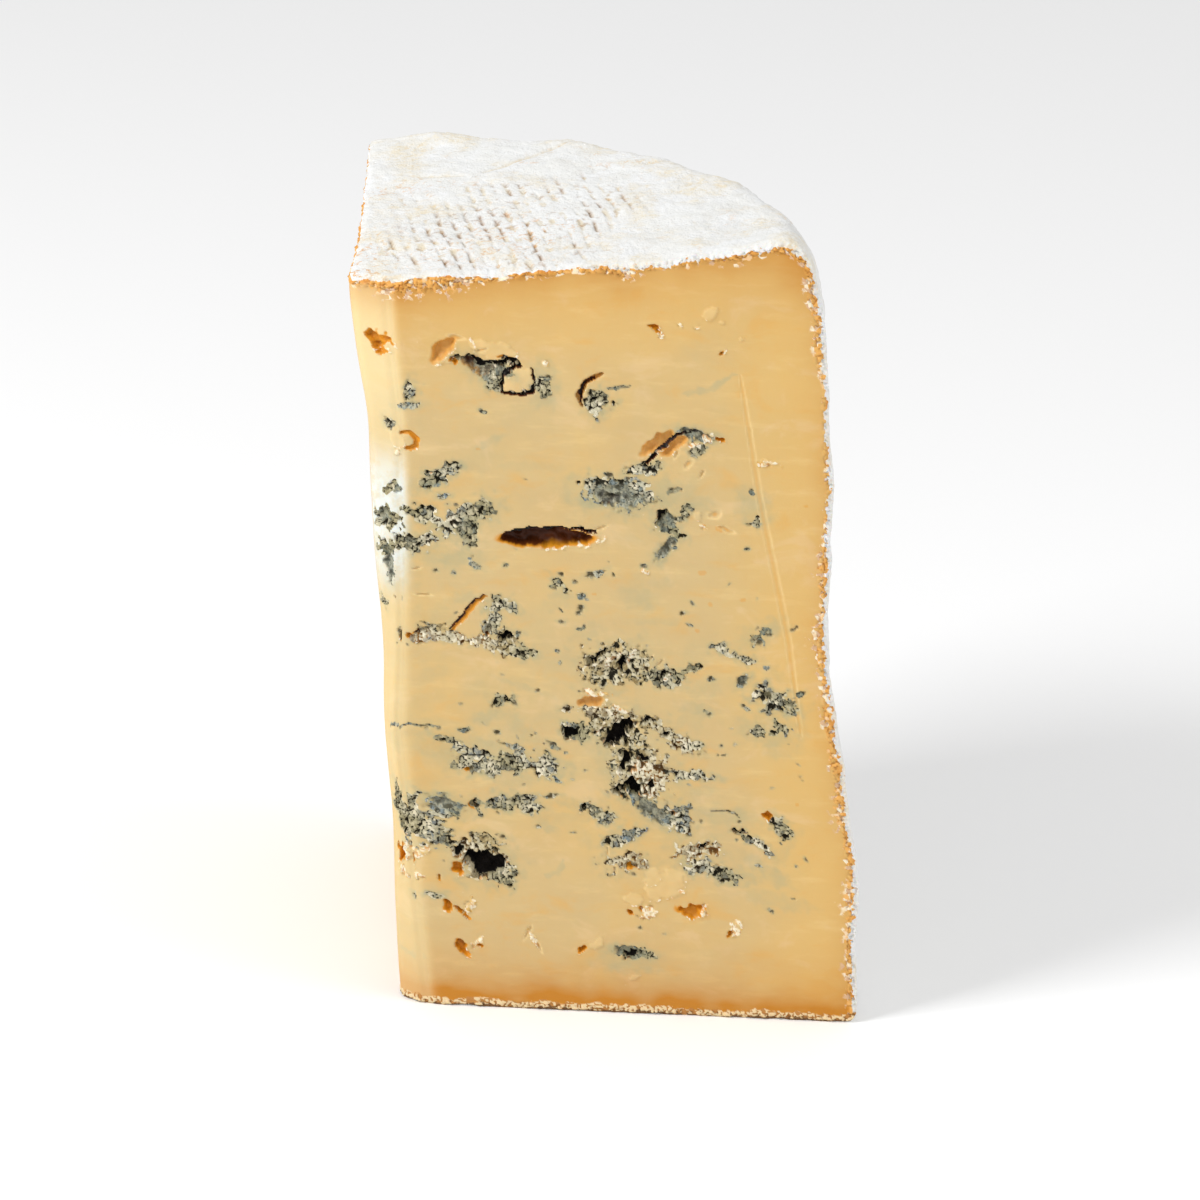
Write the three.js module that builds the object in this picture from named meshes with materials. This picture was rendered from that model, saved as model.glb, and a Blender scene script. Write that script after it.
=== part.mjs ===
// A wedge of tall blue-veined cheese with a white rind: a quarter of a wheel, standing on the
// wheel's flat bottom. It is one closed solid, because the rind grew on the paste.
//
// Units are millimetres, +Z is up. The large cut face looks towards -Y, the tip of the wedge is
// at the -X, -Y corner, and the wheel's round side is at the +X, +Y corner. The origin is at the
// middle of the bounding box, on the surface that the wedge stands on.
import * as THREE from 'three';

// Wheel and cut
const WHEEL_RADIUS = 86;
const WEDGE_ANGLE = 92; // degrees between the two cut faces
const NOSE_ALONG_FRONT = 6.5; // the tip is cut off blunt: where it starts on the front face...
const NOSE_ALONG_SIDE = 3; // ...and where it ends on the second cut face

// Height: the top is not level, it climbs from the tip towards the wheel's side
const HEIGHT_AT_TIP = 143;
const TOP_CLIMB_X = 0.105;
const TOP_CLIMB_Y = 0.029;
// ...and the corner between the front face and the wheel's side is turned up a little more
const UPTURN = { rise: 2.5, start: 50, length: 36, depth: 14 };

// The wheel was pressed a little out of true, so every level is shifted against the one below
const LEAN_X = -4.8; // degrees, towards the tip
const LEAN_Y = 1; // degrees, away from the front face

// The wheel's edges are rounded where the top and the bottom turn into the side
const TOP_EDGE_RADIUS = 7;
const BOTTOM_EDGE_RADIUS = 3;

// The side is drawn in at a waist and swells below it
const WAIST = { depth: -2.3, height: 74, spread: 20 };
const BELLY = { depth: 1.2, height: 28.5, spread: 13 };

// Fineness of the surface
const ANGLE_STEPS = 16;
const RADIUS_STEPS = 10;
const HEIGHT_STEPS = 22;

const WEDGE = THREE.MathUtils.degToRad(WEDGE_ANGLE);
const SHIFT_X = Math.tan(THREE.MathUtils.degToRad(LEAN_X));
const SHIFT_Y = Math.tan(THREE.MathUtils.degToRad(LEAN_Y));

/** A smooth swelling (or hollow) of the side around one height. */
function swelling({ depth, height, spread }, z) {
  const distance = (z - height) / spread;
  return depth * Math.exp(-distance * distance);
}

/** Radius of the wheel's side at a height above the base. */
function sideRadius(z) {
  return WHEEL_RADIUS + swelling(WAIST, z) + swelling(BELLY, z);
}

/** Distance from the wheel's axis to the blunt nose, along a given angle. */
function noseRadius(angle) {
  const end = new THREE.Vector2(Math.cos(WEDGE), Math.sin(WEDGE)).multiplyScalar(NOSE_ALONG_SIDE);
  const start = new THREE.Vector2(NOSE_ALONG_FRONT, 0);
  const chord = end.clone().sub(start);
  const ray = new THREE.Vector2(Math.cos(angle), Math.sin(angle));
  return start.cross(chord) / ray.cross(chord);
}

/** Height of the top at a place in plan. */
function topHeight(x, y) {
  const along = THREE.MathUtils.smoothstep(x, UPTURN.start, UPTURN.start + UPTURN.length);
  const back = Math.exp(-((y / UPTURN.depth) ** 2));
  return HEIGHT_AT_TIP + TOP_CLIMB_X * x + TOP_CLIMB_Y * y + UPTURN.rise * along * back;
}

/** Spaces steps along a length so that the ones in the last stretch follow a round corner. */
function stepsWithCorner(count, cornerCount, cornerShare) {
  const straight = count - cornerCount;
  const steps = [];
  for (let i = 0; i <= straight; i += 1) {
    steps.push((i / straight) * (1 - cornerShare));
  }
  for (let i = 1; i <= cornerCount; i += 1) {
    steps.push(1 - cornerShare + (i / cornerCount) * cornerShare);
  }
  return steps;
}

/** Bends the square corner of a section into a round one of the given radius. */
function roundCorner(outward, upward, radius) {
  if (outward <= 0 || upward <= 0) {
    return [outward, upward];
  }
  const a = outward / radius;
  const b = upward / radius;
  return [outward * Math.sqrt(1 - (b * b) / 2), upward * Math.sqrt(1 - (a * a) / 2)];
}

/** A point of the wedge, from its angle and its shares of the way outwards and upwards. */
function wedgePoint(angle, outShare, upShare) {
  const direction = new THREE.Vector2(Math.cos(angle), Math.sin(angle));
  const inner = noseRadius(angle);
  let radius = THREE.MathUtils.lerp(inner, WHEEL_RADIUS, outShare);
  const top = topHeight(direction.x * radius, direction.y * radius);
  let z = top * upShare;

  const [outTop, upTop] = roundCorner(
    radius - (WHEEL_RADIUS - TOP_EDGE_RADIUS),
    z - (top - TOP_EDGE_RADIUS),
    TOP_EDGE_RADIUS,
  );
  radius = WHEEL_RADIUS - TOP_EDGE_RADIUS + outTop;
  z = top - TOP_EDGE_RADIUS + upTop;

  const [outBottom, downBottom] = roundCorner(
    radius - (WHEEL_RADIUS - BOTTOM_EDGE_RADIUS),
    BOTTOM_EDGE_RADIUS - z,
    BOTTOM_EDGE_RADIUS,
  );
  radius = WHEEL_RADIUS - BOTTOM_EDGE_RADIUS + outBottom;
  z = BOTTOM_EDGE_RADIUS - downBottom;

  const reach = (radius - inner) / (WHEEL_RADIUS - inner);
  radius += reach * (sideRadius(z) - WHEEL_RADIUS);
  return new THREE.Vector3(
    direction.x * radius + SHIFT_X * z,
    direction.y * radius + SHIFT_Y * z,
    z,
  );
}

/** The closed skin of the wedge: the six sides of a bent block that share their edge points. */
function wedgeGeometry() {
  const angles = Array.from({ length: ANGLE_STEPS + 1 }, (_, i) => (i / ANGLE_STEPS) * WEDGE);
  const outs = stepsWithCorner(RADIUS_STEPS, 3, TOP_EDGE_RADIUS / WHEEL_RADIUS);
  const ups = stepsWithCorner(HEIGHT_STEPS, 4, TOP_EDGE_RADIUS / HEIGHT_AT_TIP);
  ups.splice(1, 0, BOTTOM_EDGE_RADIUS / HEIGHT_AT_TIP / 2, BOTTOM_EDGE_RADIUS / HEIGHT_AT_TIP);

  const last = [angles.length - 1, outs.length - 1, ups.length - 1];
  const numbers = new Map();
  const positions = [];
  const faces = [];

  const corner = (i, j, k) => {
    const key = `${i},${j},${k}`;
    if (!numbers.has(key)) {
      numbers.set(key, positions.length / 3);
      positions.push(...wedgePoint(angles[i], outs[j], ups[k]).toArray());
    }
    return numbers.get(key);
  };

  // A side of the block is swept by two of its three counters, the third stays at 0 or its last
  const addSide = (fixed, atEnd) => {
    const [first, second] = [0, 1, 2].filter((axis) => axis !== fixed);
    const turned = (fixed === 1) !== atEnd;
    for (let m = 0; m < last[first]; m += 1) {
      for (let n = 0; n < last[second]; n += 1) {
        const ring = [[m, n], [m + 1, n], [m + 1, n + 1], [m, n + 1]].map(([p, q]) => {
          const place = [0, 0, 0];
          place[fixed] = atEnd ? last[fixed] : 0;
          place[first] = p;
          place[second] = q;
          return corner(...place);
        });
        if (turned) {
          ring.reverse();
        }
        faces.push(ring[0], ring[1], ring[2], ring[0], ring[2], ring[3]);
      }
    }
  };
  for (const fixed of [0, 1, 2]) {
    addSide(fixed, false);
    addSide(fixed, true);
  }

  const geometry = new THREE.BufferGeometry();
  geometry.setAttribute('position', new THREE.Float32BufferAttribute(positions, 3));
  geometry.setIndex(faces);
  return geometry;
}

/** Moves a geometry so that the middle of its box is over the origin and its base is at zero. */
function standOnOrigin(geometry) {
  geometry.computeBoundingBox();
  const middle = geometry.boundingBox.getCenter(new THREE.Vector3());
  geometry.translate(-middle.x, -middle.y, -geometry.boundingBox.min.z);
  return geometry;
}

const paste = new THREE.MeshStandardMaterial({ color: '#e5c993', roughness: 0.5, metalness: 0 });

const cheeseWedge = new THREE.Mesh(standOnOrigin(wedgeGeometry()), paste);
cheeseWedge.name = 'cheese_wedge';
cheeseWedge.geometry.computeVertexNormals();

const model = new THREE.Group();
model.add(cheeseWedge);

export default model;
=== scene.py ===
"""A wedge of blue-veined cheese with a white rind, standing on the flat bottom of its wheel.

The wedge is one closed mesh. Its two cut faces carry real hollows, cracks and crumbs, and the
rind carries the print of the draining mat. Lengths inside the modelling code are millimetres,
measured from the wheel's axis and up from the base; they become metres when the mesh is made.
"""

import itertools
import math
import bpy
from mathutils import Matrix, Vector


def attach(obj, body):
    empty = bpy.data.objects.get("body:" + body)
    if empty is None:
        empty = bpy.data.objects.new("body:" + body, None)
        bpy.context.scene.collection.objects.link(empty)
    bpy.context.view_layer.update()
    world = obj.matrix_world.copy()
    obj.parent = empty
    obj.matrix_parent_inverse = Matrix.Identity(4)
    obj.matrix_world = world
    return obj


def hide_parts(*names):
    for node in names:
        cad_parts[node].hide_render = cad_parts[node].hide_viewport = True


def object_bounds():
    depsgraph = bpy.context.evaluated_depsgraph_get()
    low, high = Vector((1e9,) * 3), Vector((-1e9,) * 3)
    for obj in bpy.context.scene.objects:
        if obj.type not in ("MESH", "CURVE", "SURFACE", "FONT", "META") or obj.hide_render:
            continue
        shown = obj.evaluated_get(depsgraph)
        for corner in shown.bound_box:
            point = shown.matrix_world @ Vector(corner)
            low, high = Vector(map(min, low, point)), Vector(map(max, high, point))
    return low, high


bl_info = {
    "name": "Blue Cheese Wedge",
    "version": (1, 0, 0),
    "blender": (4, 5, 0),
    "location": "View3D > Sidebar > Cheese",
    "description": "Builds a quarter wheel of blue-veined cheese and a small studio around it",
    "category": "Add Mesh",
}

import bpy
import numpy as np
from bpy.props import FloatProperty, FloatVectorProperty, IntProperty, PointerProperty
from mathutils import Matrix, Vector

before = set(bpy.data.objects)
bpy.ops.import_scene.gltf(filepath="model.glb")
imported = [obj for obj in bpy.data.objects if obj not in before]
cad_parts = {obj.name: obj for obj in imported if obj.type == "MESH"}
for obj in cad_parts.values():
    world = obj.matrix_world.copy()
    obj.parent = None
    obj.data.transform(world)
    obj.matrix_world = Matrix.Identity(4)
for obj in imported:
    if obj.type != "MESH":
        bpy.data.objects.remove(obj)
cad_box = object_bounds()

MM = 0.001


def paint(code):
    """Turns a six-letter display colour into the linear colour that shaders work in."""
    parts = [int(code[i:i + 2], 16) / 255 for i in (0, 2, 4)]
    return tuple(p / 12.92 if p <= 0.04045 else ((p + 0.055) / 1.055) ** 2.4 for p in parts)


# ------------------------------------------------------------------------------ settings


class WedgeSizes(bpy.types.PropertyGroup):
    """How the wheel was made and cut."""

    wheel_radius: FloatProperty(
        name="Wheel radius", description="Radius of the whole wheel",
        default=0.086, unit="LENGTH")
    wedge_angle: FloatProperty(
        name="Wedge angle", description="Angle between the two cut faces",
        default=math.radians(92), subtype="ANGLE")
    nose_front: FloatProperty(
        name="Nose, front", description="Where the blunt tip starts on the broad cut face",
        default=0.0065, unit="LENGTH")
    nose_side: FloatProperty(
        name="Nose, side", description="Where the blunt tip ends on the second cut face",
        default=0.003, unit="LENGTH")
    height_at_tip: FloatProperty(
        name="Height at the tip", description="Height of the top over the tip of the wedge",
        default=0.143, unit="LENGTH")
    climb_x: FloatProperty(
        name="Climb along", description="How much the top climbs along the broad cut face",
        default=0.105)
    climb_y: FloatProperty(
        name="Climb back", description="How much the top climbs away from that face",
        default=0.029)
    upturn: FloatProperty(
        name="Upturn", description="How far the corner of the broad face is turned up",
        default=0.0025, unit="LENGTH")
    lean_x: FloatProperty(
        name="Lean along", description="How far the wheel leans towards the tip",
        default=math.radians(-4.8), subtype="ANGLE")
    lean_y: FloatProperty(
        name="Lean back", description="How far the wheel leans away from the broad cut face",
        default=math.radians(1), subtype="ANGLE")
    top_edge: FloatProperty(
        name="Top edge", description="Radius of the rind where the top turns into the side",
        default=0.007, unit="LENGTH")
    bottom_edge: FloatProperty(
        name="Bottom edge", description="Radius of the rind where the side meets the bottom",
        default=0.003, unit="LENGTH")
    cut_grain: FloatProperty(
        name="Cut grain", description="Spacing of the points on the cut faces",
        default=0.00025, unit="LENGTH")
    rind_grain: FloatProperty(
        name="Rind grain", description="Spacing of the points on the rind",
        default=0.0005, unit="LENGTH")
    seed: IntProperty(
        name="Seed", description="Chooses the chance marks in the rind and the second cut face",
        default=11)


def colour_property(name, description, code):
    """A colour that the user can change, given as a six-letter display colour."""
    return FloatVectorProperty(
        name=name, description=description, default=paint(code), subtype="COLOR",
        min=0, max=1)


class CheeseColours(bpy.types.PropertyGroup):
    """The colours of paste, mould and rind."""

    paste: colour_property("Paste", "Cut paste in the heart of the wheel", "cdb27d")
    butter: colour_property("Butter", "Yellower paste towards the rind", "d9b26b")
    honey: colour_property("Honey", "Ripe paste close under the rind", "be7a12")
    rust: colour_property("Rust", "Crumbs between the paste and the white bloom", "d68f3c")
    amber: colour_property("Amber", "Bare wet walls of small holes", "d68c08")
    # Bark is painted shade on the upper walls of holes and cracks, and also browns dark flecks
    bark: colour_property("Bark", "Deep walls of cracks", "5a2a0b")
    cream: colour_property("Cream", "Torn curd that has turned pale", "f6ecd2")
    ash: colour_property("Ash", "Dry pale crumbs on the blue mould", "cec9af")
    slate: colour_property("Slate", "Blue mould", "828b87")
    # Ink is the dark mould in the gaps between mouldy crumbs, deepened there as painted shade
    ink: colour_property("Ink", "Cracks between the mouldy crumbs", "1e190a")
    moss: colour_property("Moss", "Green-grey tint around the veins", "aaa580")
    bloom: colour_property("Bloom", "White mould of the rind", "e6e6e3")
    straw: colour_property("Straw", "Bare beige rind in the print of the mat", "dccfb4")


class StudioSettings(bpy.types.PropertyGroup):
    """Floor, light and camera."""

    floor: colour_property("Floor", "Colour of the plain floor", "fcfcfc")
    sky: FloatProperty(
        name="Sky", description="Strength of the even light from all round", default=0.65)
    key: FloatProperty(
        name="Key", description="Power of the broad lamp above and to the left",
        default=8.0, unit="POWER")
    fill: FloatProperty(
        name="Fill", description="Power of the soft lamp to the right",
        default=2.4, unit="POWER")
    camera_distance: FloatProperty(
        name="Camera distance", description="From the camera to the middle of the cut face",
        default=1.209, unit="LENGTH")
    camera_rise: FloatProperty(
        name="Camera rise", description="How steeply the camera looks down",
        default=math.radians(20.97), subtype="ANGLE")
    camera_side: FloatProperty(
        name="Camera side", description="How far the camera stands round to the right",
        default=math.radians(2), subtype="ANGLE")
    camera_roll: FloatProperty(
        name="Camera roll", description="Turn of the camera about its own line of sight",
        default=math.radians(1.63), subtype="ANGLE")
    lens: FloatProperty(
        name="Lens", description="Focal length on a 36 mm wide sensor, in millimetres",
        default=196.0)


# ------------------------------------------------------------------- smooth random fields

LATTICE = 32


def lattice_arrows(seed):
    """Random unit arrows on a small repeating lattice."""
    arrows = np.random.default_rng(seed).normal(size=(LATTICE ** 3, 3))
    return (arrows / np.linalg.norm(arrows, axis=1, keepdims=True)).astype(np.float32)


def ripple(points, size, seed, octaves=1):
    """Smooth random values of about -1 to 1 that change over a length of about size."""
    arrows = lattice_arrows(seed)
    total = np.zeros(len(points), np.float32)
    strength = 1.0
    for octave in range(octaves):
        place = points / (size * 0.5 ** octave) + 17.3 * octave
        cell = np.floor(place).astype(np.int32)
        part = (place - cell).astype(np.float32)
        fade = part ** 3 * (part * (part * 6 - 15) + 10)
        for corner in itertools.product((0, 1), repeat=3):
            x, y, z = ((cell[:, k] + corner[k]) % LATTICE for k in range(3))
            arrow = arrows[(x * LATTICE + y) * LATTICE + z]
            weight = np.ones(len(points), np.float32)
            for k in range(3):
                weight *= fade[:, k] if corner[k] else 1 - fade[:, k]
            reach = part - np.array(corner, np.float32)
            total += strength * weight * np.einsum("ij,ij->i", arrow, reach)
        strength *= 0.5
    return total * 1.7


def ease(start, end, value):
    """0 before start, 1 after end and a smooth step between them, which may run backwards."""
    share = np.clip((value - start) / (end - start), 0, 1)
    return share * share * (3 - 2 * share)


def smooth_track(value, at, given):
    """A value that glides from one given value to the next."""
    fine = np.linspace(min(at), max(at), 240)
    window = np.hanning(25)
    track = np.pad(np.interp(fine, at, given), 12, mode="edge")
    track = np.convolve(track, window, "valid") / window.sum()
    return np.interp(value, fine, track)


def bump_at(value, middle, spread):
    """A rounded bump of height 1 around middle."""
    return np.exp(-((value - middle) / spread) ** 2)


# ------------------------------------------------------------------------ the plain wedge


class Wedge:
    """The smooth shape of the wedge, in millimetres from the wheel's axis at the base."""

    WAIST = (-2.3, 74, 20)
    BELLY = (1.2, 28.5, 13)
    SHOULDER = (-1.5, 151, 7)
    # gentle hills of the top: height, place in plan, spread
    HILLS = ((1.2, 8, 82, 9), (0.8, 38, 74, 9))
    # where the front edge of the blunt nose runs, and how far its back edge strays, by height
    ARRIS = ((0, 4.9), (30, 3.6), (55, 2.6), (88, 5.2), (115, 6.4), (145, 6.8))
    STRAY = ((0, -0.7), (18, -0.7), (38, 0.5), (55, 0.0), (70, 0.5), (85, 0.3), (100, 0.4),
             (115, 0.9), (127, -0.5), (138, -1.1), (150, -0.4))

    def __init__(self, sizes):
        self.radius = sizes.wheel_radius / MM
        self.angle = sizes.wedge_angle
        self.top_edge = sizes.top_edge / MM
        self.bottom_edge = sizes.bottom_edge / MM
        self.height = sizes.height_at_tip / MM
        self.climb = (sizes.climb_x, sizes.climb_y)
        self.upturn = sizes.upturn / MM
        self.shift = (math.tan(sizes.lean_x), math.tan(sizes.lean_y))
        self.nose_start = np.array([sizes.nose_front / MM, 0.0])
        self.side_way = np.array([math.cos(self.angle), math.sin(self.angle)])
        self.nose_end = self.side_way * sizes.nose_side / MM

    def swell(self, z):
        """How far the side stands out from a straight one at a height."""
        rings = (self.WAIST, self.BELLY, self.SHOULDER)
        return sum(depth * bump_at(z, at, spread) for depth, at, spread in rings)

    def nose_radius(self, angle):
        """Distance from the axis to the blunt nose at an angle."""
        chord = self.nose_end - self.nose_start
        across = self.nose_start[0] * chord[1] - self.nose_start[1] * chord[0]
        return across / (np.cos(angle) * chord[1] - np.sin(angle) * chord[0])

    def top(self, x, y):
        """Height of the top at a place in plan."""
        height = self.height + self.climb[0] * x + self.climb[1] * y
        height = height + self.upturn * ease(50, 86, x) * bump_at(y, 0, 14)
        for rise, at_x, at_y, spread in self.HILLS:
            height = height + rise * bump_at(np.hypot(x - at_x, y - at_y), 0, spread)
        return height

    def sway(self, places):
        """How far the uneven edges of the nose lie out of line, for each place."""
        x, y, z = places.T
        height, at = zip(*self.ARRIS)
        front = smooth_track(z, height, at) - self.nose_start[0]
        height, at = zip(*self.STRAY)
        back = smooth_track(z, height, at)
        near_front = bump_at(np.hypot(x - self.nose_start[0], y), 0, 5)
        near_back = bump_at(np.hypot(x - self.nose_end[0], y - self.nose_end[1]), 0, 9)
        return front * near_front + back * near_back

    @staticmethod
    def round_corner(out, up, radius):
        """Bends the square corner of a section into a round one."""
        inside = (out > 0) & (up > 0)
        a = np.where(inside, out / radius, 0)
        b = np.where(inside, up / radius, 0)
        return out * np.sqrt(1 - b * b / 2), up * np.sqrt(1 - a * a / 2)

    def points(self, angle, out, up):
        """Places, before the lean, for an angle and for shares of the way outwards and up."""
        angle, out, up = np.broadcast_arrays(*(np.asarray(v, float) for v in (angle, out, up)))
        inner = self.nose_radius(angle)
        radius = inner + (self.radius - inner) * out
        top = self.top(np.cos(angle) * radius, np.sin(angle) * radius)
        z = top * up
        out_top, up_top = self.round_corner(
            radius - self.radius + self.top_edge, z - top + self.top_edge, self.top_edge)
        radius = self.radius - self.top_edge + out_top
        z = top - self.top_edge + up_top
        out_low, down_low = self.round_corner(
            radius - self.radius + self.bottom_edge, self.bottom_edge - z, self.bottom_edge)
        radius = self.radius - self.bottom_edge + out_low
        z = self.bottom_edge - down_low
        radius = radius + (radius - inner) / (self.radius - inner) * self.swell(z)
        return np.stack([np.cos(angle) * radius, np.sin(angle) * radius, z], axis=-1)


# --------------------------------------------------------------------------- the fine skin


def join_rows(row_a, row_b):
    """Faces between two rows of points that start and end side by side."""
    if len(row_a) == len(row_b):
        return [np.stack([row_a[:-1], row_a[1:], row_b[1:], row_b[:-1]], axis=1)]
    faces = []
    i = j = 0
    while i < len(row_a) - 1 or j < len(row_b) - 1:
        next_a = (i + 1) / (len(row_a) - 1)
        next_b = (j + 1) / (len(row_b) - 1)
        if i < len(row_a) - 1 and (next_a <= next_b or j == len(row_b) - 1):
            faces.append((row_a[i], row_a[i + 1], row_b[j], -1))
            i += 1
        else:
            faces.append((row_a[i], row_b[j + 1], row_b[j], -1))
            j += 1
    return [np.array(faces)]


class Skin:
    """All points of the closed skin, and its faces kept in named sheets."""

    def __init__(self, wedge, cut_grain, rind_grain):
        self.wedge = wedge
        self.places = []
        self.count = 0
        self.sheets = {}
        self.lay(cut_grain, rind_grain)
        self.flat = np.concatenate(self.places)

    def add(self, places):
        """Adds points and returns their numbers, in the shape of the block."""
        numbers = np.arange(self.count, self.count + places[..., 0].size)
        self.places.append(places.reshape(-1, 3))
        self.count += numbers.size
        return numbers.reshape(places.shape[:-1])

    def sheet(self, name, rows, turned):
        """Joins rows of points into a named sheet that faces outwards."""
        faces = [face for a, b in zip(rows[:-1], rows[1:]) for face in join_rows(a, b)]
        faces = np.concatenate(faces)
        if turned:
            three = faces[:, 3] < 0
            faces = faces[:, ::-1].copy()
            faces[three] = np.roll(faces[three], -1, axis=1)
        self.sheets[name] = faces

    def lay(self, cut_grain, rind_grain):
        """Lays out the cut faces, the blunt nose, the side, the top and the bottom."""
        wedge = self.wedge
        ups = np.linspace(0, 1, round(wedge.height / cut_grain) + 1)
        outs = np.linspace(0, 1, round((wedge.radius - wedge.nose_start[0]) / cut_grain) + 1)
        nose_length = np.linalg.norm(wedge.nose_end - wedge.nose_start)
        share = np.linspace(0, 1, round(nose_length / cut_grain) + 1)[1:-1, None]
        chord = wedge.nose_start + share * (wedge.nose_end - wedge.nose_start)
        nose_angles = np.arctan2(chord[:, 1], chord[:, 0])

        front = self.add(wedge.points(0.0, outs[:, None], ups[None, :]))
        side = self.add(wedge.points(wedge.angle, outs[:, None], ups[None, :]))
        nose = self.add(wedge.points(nose_angles[:, None], 0.0, ups[None, :]))
        nose = np.concatenate([front[:1], nose, side[:1]])

        round_steps = round(wedge.angle * wedge.radius / rind_grain)
        angles = np.linspace(0, wedge.angle, round_steps + 1)[1:-1]
        side_ups = np.linspace(0, 1, round(wedge.height / rind_grain) + 1)
        rim = self.add(wedge.points(angles[:, None], 1.0, side_ups[None, :]))
        columns = [front[-1], *rim, side[-1]]

        self.sheet("front", list(front), True)
        self.sheet("nose", list(nose), False)
        self.sheet("side", list(side), False)
        self.sheet("rim", columns, True)
        for name, end, grain, turned in (
                ("top", -1, rind_grain, True), ("bottom", 0, rind_grain * 2, False)):
            rings = [nose[:, end]]
            for j in range(1, len(outs) - 1):
                reach = wedge.nose_start[0] + outs[j] * (wedge.radius - wedge.nose_start[0])
                steps = max(len(nose) - 1, round(wedge.angle * reach / grain))
                inner = np.linspace(0, wedge.angle, steps + 1)[1:-1]
                ring = self.add(wedge.points(inner, outs[j], float(end == -1)))
                rings.append(np.concatenate([front[j, [end]], ring, side[j, [end]]]))
            rings.append(np.array([column[end] for column in columns]))
            self.sheet(name, rings, turned)


# ------------------------------------------------------------------- marks in a cut face

# What each kind of mark does to the paste. Depth is in millimetres, below zero for a raised
# plate. Lit tells how far down its lower right wall starts to catch the light, from -1 at the
# upper edge to 1 at the lower one. The rest are amounts: crust for loose crumbs, mould for how
# blue they are, haze for the tint around them, warm for the amber walls, dark for painted shade
# on the walls above where they catch the light and for real dark mould in flecks, pale for
# white curd, light for smooth pale paste, one amount for a ripped rim that is raised a little
# and painted pale as a highlight, brightest on its lower right side, and ragged for how far the
# outline strays. Fade is how gently the painted shade of a wall gives way to its lit part. A
# twin mark has pale edges all round, and a hole is painted dark with shade right up to its
# outline.
KINDS = {
    "cave": dict(depth=4.2, steep=0.26, lit=1.35, dark=1.0, crust=0.7, mould=0.7, haze=0.7,
                 warm=0.6, lip=0.9, ragged=1.0, hole=1),
    "pocket": dict(depth=2.4, lit=-0.25, dark=0.9, crust=0.3, mould=0.5, haze=0.5, velvet=0.4,
                   warm=0.5, lip=0.6, ragged=0.5),
    "shadow": dict(depth=2.4, steep=0.9, dark=0.95, ragged=0.6),
    "crack": dict(depth=4.5, steep=0.24, lit=0.62, fade=0.8, dark=0.87, warm=1.0, lip=1.0,
                  ragged=0.22, hole=1),
    "slit": dict(depth=3.0, steep=0.3, dark=1.0, ragged=0.6, hole=1),
    "wall": dict(depth=1.5, steep=0.5, lit=-0.75, dark=0.3, warm=0.46, lip=0.8, ragged=0.4),
    "eye": dict(depth=1.6, lit=-0.4, dark=0.36, warm=1.0, lip=0.9, ragged=0.8),
    "velvet": dict(depth=1.0, lit=-0.3, dark=0.4, crust=0.42, mould=1.0, haze=0.8, velvet=0.9,
                   lip=0.3, ragged=0.6),
    "crust": dict(depth=0.3, crust=1.0, mould=0.9, haze=0.8, ragged=1.1),
    "crumble": dict(depth=0.3, crust=0.9, mould=0.66, haze=0.5, ragged=1.1),
    "fleck": dict(depth=0.3, crust=0.55, mould=1.0, haze=0.6, dark=0.3, velvet=0.6, ragged=0.7),
    "haze": dict(haze=0.5, ragged=0.8),
    "scrape": dict(depth=0.35, warm=0.4, light=0.6, twin=1, ragged=0.35),
    "ring": dict(depth=0.7, lit=-0.2, dark=0.26, warm=0.78, lip=0.6, ragged=0.3),
    "dot": dict(warm=0.34, ragged=0.4),
    "chip": dict(depth=-0.22, steep=0.2, light=0.3, lip=0.7, ragged=0.5),
    "curd": dict(depth=-0.25, crust=0.45, pale=0.6, light=0.5, ragged=0.9),
    "needle": dict(depth=0.12, warm=0.26, light=0.45, twin=1, ragged=0.12),
}

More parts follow.
